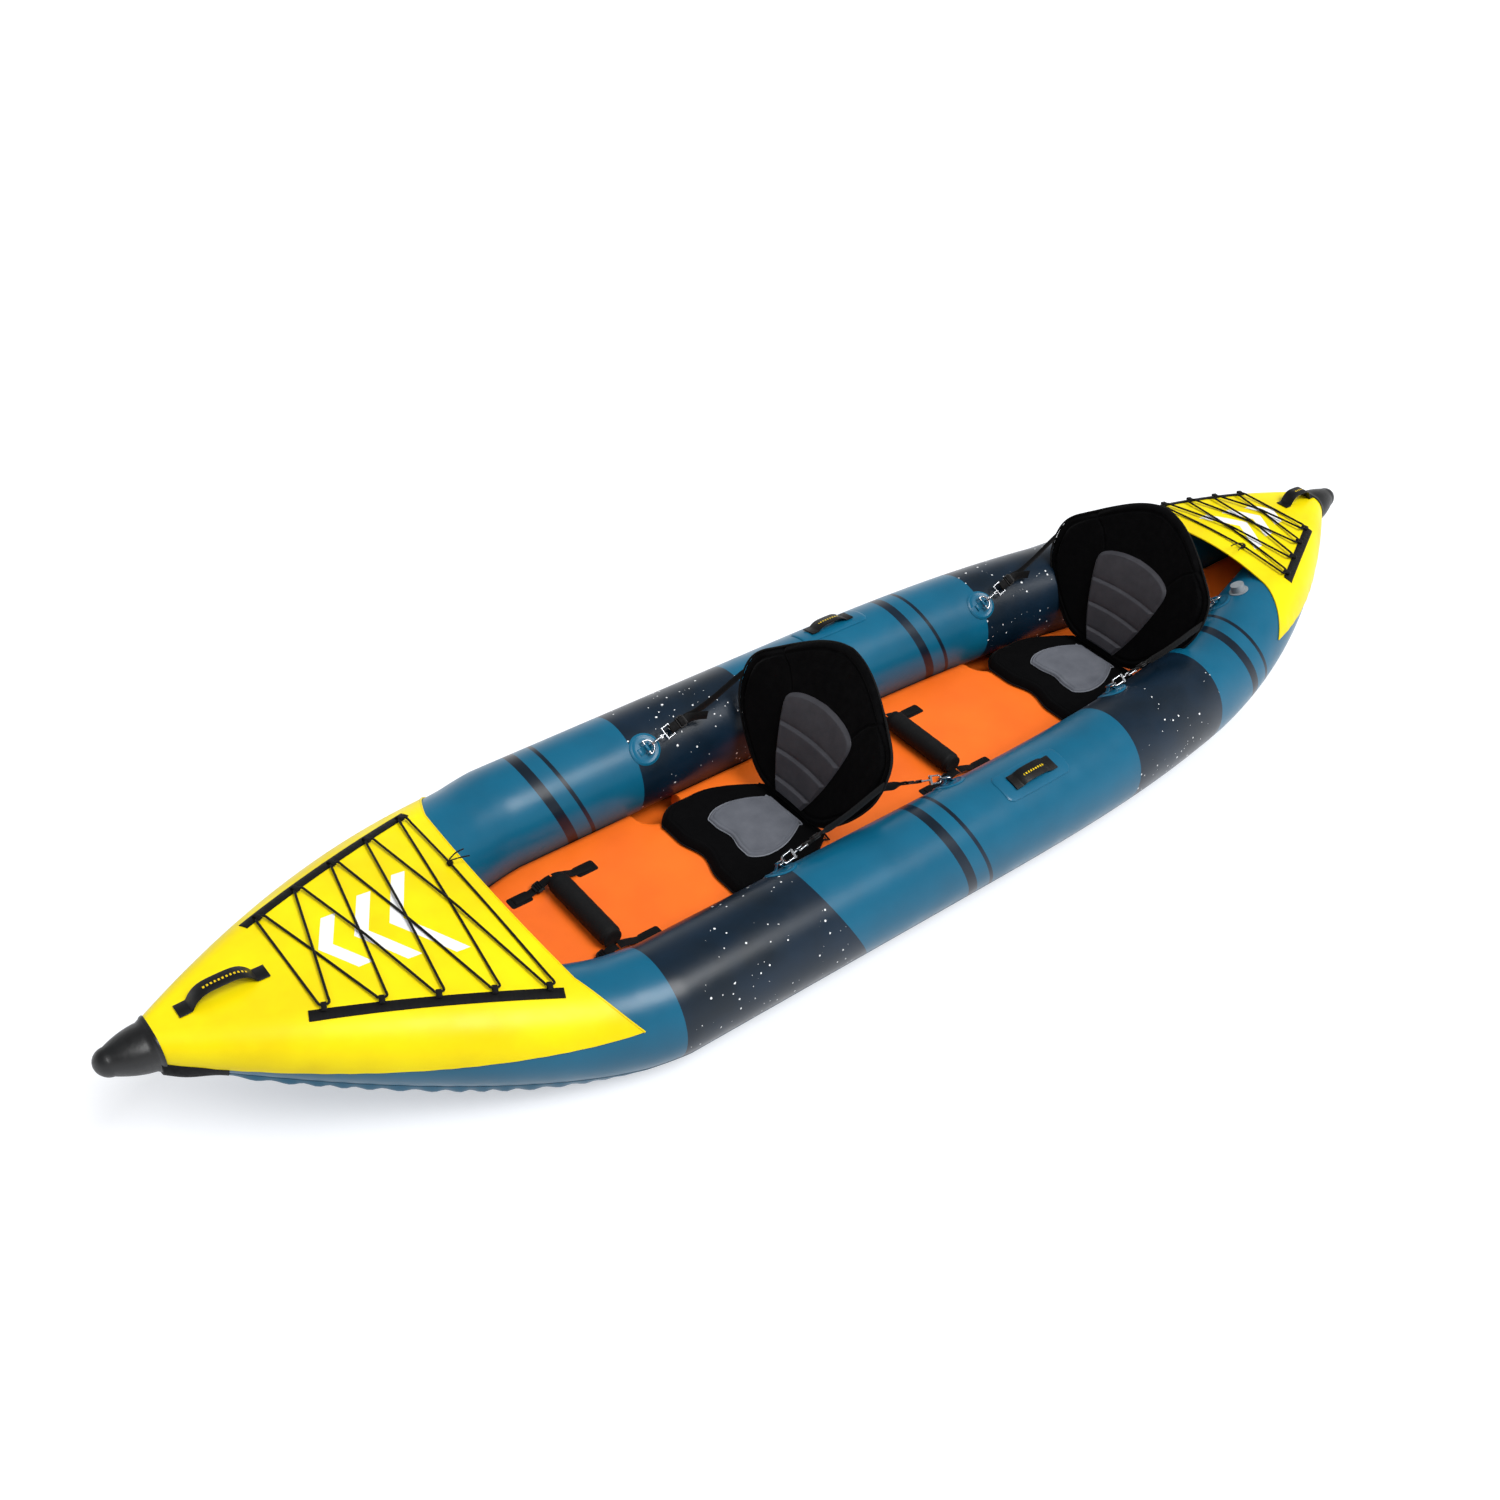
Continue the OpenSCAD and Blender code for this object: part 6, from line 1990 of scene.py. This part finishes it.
@dataclass
class SeatStrap:
    """A strap from a backrest to a ring on a tube, with its buckle and the ring's welded disc."""

    seat: Seat
    side: Side
    way: Way
    # Distance of the ring along the boat from the seat's place, and length of the free tail
    ring_x: float
    tail: float
    tail_start: float = 0.03
    # Gap between tail and strap at its start, and how far its end curls away and hangs down
    tail_gap: float = 0.004
    tail_curl: float = 0.016
    tail_drop: float = 0.022
    # Length that is folded back round the hook's bar, and the stretch where the strap turns on edge
    fold: float = 0.034
    turn_start: float = 0.042
    turn_length: float = 0.036
    # Greatest sag, also as a share of the strap's length
    sag: float = 0.012
    sag_share: float = 0.03
    ring_angle: float = 132.0
    ring_lift: float = 0.015
    ring_w: float = 0.04
    disc_d: float = 0.09
    disc_t: float = 0.0012
    # Shares of the radius and of the thickness from the middle of a disc over its raised rim to its edge
    disc_levels: tuple[tuple[float, float], ...] = (
        (0.02, 1.0), (0.3, 1.0), (0.6, 1.0), (0.78, 1.0), (0.82, 1.7), (0.88, 1.7), (0.92, 1.0), (0.98, 0.9),
        (1.0, 0.5), (1.0, 0.0))
    wire_d: float = 0.005
    fore_height: float = 0.25
    aft_height: float = 0.2
    aft_y: float = 0.225
    hook_r: float = 0.01
    eye_start: float = 0.038
    eye_length: float = 0.022

    def __post_init__(self) -> None:
        """Works out the ring's bar, the hook's strap bar, the sewn end and the strap's three directions."""
        turn = math.radians(self.ring_angle)
        self.normal = np.array([0.0, self.side.value * math.cos(turn), math.sin(turn)])
        self.bar = HULL.tube_point(self.seat.place + self.ring_x, self.ring_angle, self.ring_lift, self.side)
        self.end = self.sewn_end()
        self.run = unit(self.end - self.bar)
        self.across = unit(np.cross(self.normal, self.run))
        self.rise = np.cross(self.run, self.across)
        hook = self.ring_w / 2 + self.hook_r - self.wire_d - HULL.fit_gap
        self.eye_far = hook + self.eye_start + self.eye_length
        self.eye = self.bar + self.run * self.eye_far

    def sewn_end(self) -> Point:
        """Where the strap is sewn to the backrest: at the edge if it runs fore, behind the wing if aft.

        Returns:
            The point.
        """
        seat = self.seat
        if self.way is Way.FORE:
            y = seat.back_half + STRAP_T / 2 + 1 * MM
            return seat.back_place(self.side.value * y, self.fore_height, seat.wing_curve)
        depth = seat.wing(self.aft_y) - seat.back_t / 2 - STRAP_T / 2 - 3 * MM
        return seat.back_place(self.side.value * self.aft_y, self.aft_height, depth)

    def build(self) -> None:
        """Builds the strap and its buckle, which turn with the strap from the ring to the backrest."""
        first = self.way is Way.FORE and self.side is Side.PORT
        label = f"{self.seat.name}_{self.side.label}_{self.way.label}"
        strap = self.strap().build(f"{label}_strap", WEBBING)
        shape = Shape()
        ladder_buckle(shape, self.bar + self.run * (self.eye_far + self.wire_d / 2 + 30 * MM), self.run,
                      self.across, self.rise)
        buckle = shape.build(f"{label}_buckle", ACETAL)
        for piece, slot, node in ((strap, "black_webbing", "straps"), (buckle, "black_plastic", "buckles")):
            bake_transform(piece)
            place_piece(piece, slot, *([f"{self.seat.name}_seat_{node}"] if first else []), body=None)

    def strap(self) -> Shape:
        """Draws a loop round the hook's bar, the run to the backrest, and a free tail at the buckle.

        Returns:
            The shape.
        """
        up = self.seat.upward
        end_across = up * np.sign(np.dot(up, self.across))
        lift = STRAP_T * 0.9
        r = self.wire_d / 2 + STRAP_T / 2 + 0.2 * MM
        wrap = [self.eye + self.run * self.fold - self.rise * lift]
        for a in np.radians(np.linspace(250, 110, 13)):
            wrap.append(self.eye + self.run * (r * math.cos(a)) + self.rise * (r * math.sin(a)))
        far = float(np.linalg.norm(self.end - self.eye))
        shares = np.linspace(0.0, 1.0, 40)[1:]
        share = shares[:, None]
        sag = min(self.sag, far * self.sag_share) * np.sin(np.pi * share) ** 2
        body = self.eye + self.run * far * share + self.rise * (lift * (1 - smooth(share / 0.12))) - UP * sag
        path = np.vstack([wrap, body])
        spread = np.concatenate([np.zeros(len(wrap)), shares * far])
        turned = smooth((spread - self.turn_start) / self.turn_length)[:, None]
        wide = self.across * (1 - turned) + end_across * turned
        shape = Shape()
        shape.ribbon(path, wide, STRAP_W, STRAP_T)
        along = np.linspace(self.tail_start, self.tail_start + self.tail, 24)
        loose = np.stack([np.interp(along, spread, column) for column in path.T], -1)
        tail_wide = np.stack([np.interp(along, spread, column) for column in wide.T], -1)
        out = np.cross(self.run, tail_wide)
        out = out * np.sign(out @ self.rise)[:, None]
        peel = ((along - self.tail_start) / self.tail)[:, None] ** 2
        loose = loose + out * (self.tail_gap + self.tail_curl * peel) - UP * (self.tail_drop * peel)
        shape.ribbon(loose, tail_wide, STRAP_W, STRAP_T)
        return shape

    def disc(self, shape: Shape) -> None:
        """Adds the welded disc with its raised rim, and the tab that goes round the ring's bar.

        Args:
            shape: the mesh that they go into.
        """
        turn = full_turn(64)
        outline = np.stack([np.cos(turn), np.sin(turn)]) * (self.disc_d / 2)
        place = (float(self.bar[0]), self.ring_angle)
        rings = HULL.patch(place, outline, self.disc_levels, self.disc_t, self.side)
        shape.grid(rings, close_cols=True, lids=(0,))
        flat = unit(self.run - self.normal * np.dot(self.run, self.normal))
        r = self.wire_d / 2 + 1.4 * MM
        foot = self.ring_lift - HULL.form_gap - self.disc_t
        # Distance from the bar and depth below it where the tab lies on the disc and rises from it
        feet = ((22 * MM, foot - 1 * MM), (14 * MM, foot - 1 * MM), (8 * MM, foot * 0.55))
        path = [self.bar - flat * away - self.normal * deep for away, deep in feet]
        for a in np.radians(np.linspace(200, -20, 14)):
            path.append(self.bar + flat * (r * math.cos(a)) + self.normal * (r * math.sin(a)))
        path += [self.bar + flat * away - self.normal * deep for away, deep in feet[::-1]]
        shape.ribbon(curve_through(path, 3), np.cross(self.normal, flat), self.ring_w / 2, 1.6 * MM)


@dataclass
class FootRest:
    """A foam foot roll that webbing holds down to patches on the floor."""

    name: str
    place: float
    roll_d: float = 0.05
    foam_d: float = 0.06
    length: float = 0.256
    patch_reach: float = 0.098
    patch_size: tuple[float, float] = (0.062, 0.04)
    patch_corner: float = 0.008
    patch_t: float = 0.0012
    patch_levels: tuple[tuple[float, float], ...] = (
        (0.02, 1.0), (0.6, 1.0), (0.94, 1.0), (0.99, 0.7), (1.0, 0.0))
    blend_z: float = 0.08

    @property
    def body(self) -> str:
        """Name of the body that slides."""
        return f"{self.name}_foot_rest"

    @property
    def strap_y(self) -> float:
        """Distance of the straps from the centreline."""
        return self.length / 2 + HULL.fit_gap + STRAP_W / 2 + 5.5 * MM

    @property
    def axis_z(self) -> float:
        """Height of the roll's axis."""
        return HULL.floor_top + HULL.fit_gap + self.roll_d / 2

    def build(self, buckles: Shape, patches: Shape) -> None:
        """Builds the roll and its straps.

        Args:
            buckles: the mesh that the buckles of the fore straps go into.
            patches: the mesh that the floor patches go into.
        """
        self.roll()
        for way in Way:
            self.strap_pair(way)
        self.buckles(buckles)
        outline = rounded_outline(48, self.patch_size, self.patch_corner)
        for side in Side:
            for way in Way:
                rings = []
                for share, rise in self.patch_levels:
                    x = self.place + way.value * self.patch_reach + outline[0] * share
                    z = HULL.keel_z(x) + HULL.floor_top + HULL.fit_gap + self.patch_t * rise
                    rings.append(np.stack([x, side.value * self.strap_y + outline[1] * share, z], -1))
                patches.grid(np.stack(rings), close_cols=True, lids=(0,))

    def roll(self) -> None:
        """Builds the foam roll with a collar at each end."""
        r = self.foam_d / 2
        half = self.length / 2
        # Distance from the roll's end and share of its radius
        collar = ((0.0, 0.35), (0.0, 0.62), (0.5, 0.78), (2.0, 0.86), (11.0, 0.88), (12.5, 0.92),
                  (14.0, 0.975))
        profile = [(-half + inside * MM, r * share) for inside, share in collar]
        face = np.linspace(-half + 18 * MM, half - 18 * MM, 40)
        middle = [(y, r * (0.992 + 0.008 * math.cos(y * 160))) for y in face]
        profile += middle + [(-y, wide) for y, wide in profile[::-1]]
        shape = Shape()
        shape.lathe(profile, np.array([self.place, 0.0, self.axis_z + (self.foam_d - self.roll_d) / 2]), 56)
        piece = shape.build(f"{self.name}_foot_foam_roll", FOAM, 40.0)
        place_piece(piece, "black_foam", f"{self.name}_foot_roll", body=self.body)

    def strap_point(self, away: float, gap: float) -> Point:
        """Point of a port strap that lies over a patch.

        Args:
            away: distance along the boat from the roll.
            gap: height above the floor without the patch and half of the strap.

        Returns:
            The point.
        """
        x = self.place + away
        z = float(HULL.keel_z(x)) + HULL.floor_top + gap + self.patch_t + STRAP_T / 2
        return np.array([x, self.strap_y, z])

    def slope(self, way: Way) -> tuple[Point, Point]:
        """Upper and lower point of a strap's slope on the port side.

        Args:
            way: fore or aft of the roll.

        Returns:
            The two points.
        """
        upper = np.array([self.place + way.value * 18 * MM, self.strap_y, self.axis_z - 2 * MM])
        return upper, self.strap_point(way.value * (self.patch_reach - self.patch_size[0] / 2), 3.6 * MM)

    def strap_pair(self, way: Way) -> None:
        """Builds the two straps fore or aft of the roll.

        Args:
            way: which of the two pairs.
        """
        upper, lower = self.slope(way)
        top = np.array([self.place + way.value * 3 * MM, self.strap_y, self.axis_z])
        foot = self.strap_point(way.value * (self.patch_reach + self.patch_size[0] / 4), 1.1 * MM)
        path = curve_through([top, upper, (upper + lower) / 2, lower, foot], 8)
        shape = Shape()
        for side in Side:
            shape.ribbon(path * side.mirror, ACROSS, STRAP_W, STRAP_T)
        piece = shape.build(f"{self.name}_foot_{way.label}_straps", WEBBING)
        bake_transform(piece)
        nodes = [f"{self.name}_foot_straps"] if way is Way.FORE else []
        place_piece(piece, "black_webbing", *nodes, body=None)

    def buckles(self, shape: Shape) -> None:
        """Adds the ladder buckles of the fore straps to a mesh.

        Args:
            shape: the mesh that they go into.
        """
        upper, lower = self.slope(Way.FORE)
        for side in Side:
            along = unit(lower - upper) * side.mirror
            rise = unit(np.cross(along, ACROSS))
            ladder_buckle(shape, (upper + lower) / 2 * side.mirror, along, ACROSS, rise * np.sign(rise[2]))


@dataclass
class Hardware:
    """The rings, hooks, gates, strips and valves that show their own solids, and the valves' springs."""

    spring_room: float = 0.0004

    def dress(self) -> None:
        """Gives each of these solids its finish."""
        for node, piece in frame["nodes"].items():
            if node in ("d_rings", "snap_hooks") or node.endswith("_gate"):
                finish = STEEL
            elif node == "keel_strips":
                finish = STRIP_RUBBER
            elif "valve" in node and not node.endswith("_spring"):
                finish = NYLON
            else:
                continue
            piece.data.materials.clear()
            piece.data.materials.append(finish.material())
            LOG.info("%s: %s", node, finish.name)

    def springs(self) -> None:
        """Puts a steel coil in place of each valve spring."""
        for joint in frame["joints"]:
            if not joint["name"].endswith("_valve_press"):
                continue
            node = joint["name"].replace("_press", "_spring")
            mesh = frame["nodes"][node].data.copy()
            mesh.name = f"{node}_coil"
            coil = place_piece(link_mesh(mesh, STEEL), "bright_steel", node)
            points = vertex_array(mesh)
            deep = points @ np.array(joint["axis"])
            tuple(points[deep.argmax()])
            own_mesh(coil)


@dataclass
class Studio:
    """The camera, a pale floor and soft, even light."""

    eye: tuple[float, float, float] = (2.3913, 2.4667, 2.986)
    right: tuple[float, float, float] = (-0.789, 0.61346, 0.03392)
    up: tuple[float, float, float] = (-0.36797, -0.51603, 0.77351)
    back: tuple[float, float, float] = (0.49202, 0.59781, 0.63288)
    focal_px: float = 1633.71
    image_px: float = 1500.0
    sensor_mm: float = 36.0
    sky: float = 0.24
    ceiling: float = 0.15
    key_level: float = 2.5
    key_from: tuple[float, float, float] = (-0.18, 0.53, 0.83)
    key_spread: float = 30.0
    top_level: float = 1.05
    top_spread: float = 100.0
    floor_half: float = 30.0
    floor_z: float = -0.0025
    floor_glow: float = 0.54

    def camera(self) -> None:
        """Places the camera at the photograph's viewing angle."""
        data = bpy.data.cameras.new("camera")
        data.sensor_fit = "HORIZONTAL"
        data.sensor_width = self.sensor_mm
        data.lens = self.focal_px / self.image_px * self.sensor_mm
        data.clip_end = 100.0
        camera = link_object("camera", data)
        rows = zip(self.right, self.up, self.back, self.eye)
        camera.matrix_world = Matrix([*rows, (0.0, 0.0, 0.0, 1.0)])
        bpy.context.scene.camera = camera

    def sun(self, name: str, toward: tuple[float, float, float], spread: float,
            level: float) -> bpy.types.Object:
        """Adds a wide soft light from far away, which lights the whole floor alike.

        Args:
            name: the lamp's name.
            toward: direction from the boat to the light.
            spread: how wide the light looks, in degrees.
            level: light on a surface that faces it, in watts for each square metre.

        Returns:
            The lamp.
        """
        data = bpy.data.lights.new(name, "SUN")
        data.angle = math.radians(spread)
        data.energy = level
        lamp = link_object(name, data)
        lamp.rotation_euler = Vector(toward).to_track_quat("Z", "Y").to_euler()
        return lamp

    def seen(self, tree: bpy.types.NodeTree, mirrored: Source | float) -> bpy.types.Node:
        """Tells rays that show a surface from rays that light others.

        Args:
            tree: the node tree.
            mirrored: how much glossy and transmission rays show.

        Returns:
            The node that gives 1 for camera rays, and the mirrored share for glossy and transmission rays.
        """
        rays = add_node(tree, "ShaderNodeLightPath").outputs
        indirect = add_node(tree, MATH, rays["Is Glossy Ray"], rays["Is Transmission Ray"],
                            operation="MAXIMUM")
        shown = add_node(tree, MATH, indirect, mirrored, operation="MULTIPLY")
        return add_node(tree, MATH, shown, rays["Is Camera Ray"], operation="MAXIMUM")

    def world(self) -> None:
        """Lights the scene evenly, and shows a white backdrop, with a darker ceiling in reflections."""
        world = bpy.data.worlds.new("studio")
        world.use_nodes = True
        tree = world.node_tree
        way = add_node(tree, SEPARATE, add_node(tree, COORDINATES).outputs["Generated"])
        ceiling = add_node(tree, MAP_RANGE, way.outputs[2], inputs={
            "From Min": 0.15, "From Max": 0.6, "To Min": 1.0, "To Max": self.ceiling})
        level = add_node(tree, MATH, self.seen(tree, ceiling), self.sky, operation="MAXIMUM")
        feed(tree.nodes["Background"], {"Color": (1.0, 1.0, 1.0, 1.0), "Strength": level})
        bpy.context.scene.world = world

    def floor(self) -> None:
        """Lays the pale floor, which looks white to the camera where nothing shades it."""
        side = np.linspace(-self.floor_half, self.floor_half, 3)
        x, y = np.meshgrid(side, side, indexing="ij")
        shape = Shape()
        shape.grid(np.stack([x, y, np.full_like(x, self.floor_z)], -1))
        paint = Finish("painted_floor", "#c4c5c7", 0.9, mottle=0.01, specular=0.0)
        floor = shape.build("studio_floor", paint)
        tree = floor.data.materials[0].node_tree
        glow = add_node(tree, MATH, self.seen(tree, 1.0), self.floor_glow, operation="MULTIPLY")
        feed(tree.nodes["Principled BSDF"], {"Emission Color": linear("#f9fbff"), "Emission Strength": glow})

    def build(self) -> None:
        """Sets up the camera, the lamps, the world and the floor."""
        self.camera()
        self.sun("key", self.key_from, self.key_spread, self.key_level)
        fill = self.sun("top", (0.0, 0.0, 1.0), self.top_spread, self.top_level)
        fill.visible_glossy = False
        self.world()
        self.floor()
        bpy.context.scene.view_settings.view_transform = "Standard"


def main() -> None:
    """Builds and dresses the boat, piece by piece."""
    logging.basicConfig(level=logging.INFO, format="%(name)s %(message)s")
    Studio().build()
    SideTubes().build()
    BottomSkin().build()
    FloorMat().build()
    bow_deck = SprayDeck(End.BOW, BOW_PVC, 1.125)
    stern_deck = SprayDeck(End.STERN, STERN_PVC, 1.43)
    bow_deck.build()
    stern_deck.build()
    for end in End:
        NoseCap(end).build()
    EndHandle(bow_deck, BOW_GRIP, 1.765, 0.2).build()
    EndHandle(stern_deck, STERN_GRIP, 1.85, 0.14).build()
    DeckLacing(bow_deck, (1.648, 0.16), (1.15, 0.36), 5).build()
    DeckLacing(stern_deck, (-1.75, 0.13), (-1.49, 0.258), 4).build()
    front = Seat("front", 0.27)
    rear = Seat("rear", -0.94)
    front_pieces = front.build()
    rear_pieces = rear.copy_of(front, front_pieces)
    front.dress(front_pieces)
    rear.dress(rear_pieces)
    discs = Shape()
    for seat in (front, rear):
        for way, ring_x, tail in ((Way.FORE, 0.215, 0.085), (Way.AFT, -0.345, 0.115)):
            for side in Side:
                strap = SeatStrap(seat, side, way, ring_x, tail)
                strap.build()
                strap.disc(discs)
    discs.place("ring_weld_discs", PATCH_PVC, "teal_pvc", "ring_patches", sharp=35.0)
    buckles = Shape()
    patches = Shape()
    for rest in (FootRest("front", 0.87), FootRest("rear", -0.265)):
        rest.build(buckles, patches)
    buckles.place("foot_strap_buckles", ACETAL, "black_plastic", "foot_buckles")
    patches.place("foot_floor_patches", WEBBING, "black_webbing", "foot_patches")
    hardware = Hardware()
    hardware.dress()
    hardware.springs()


if __name__ == "__main__":
    main()
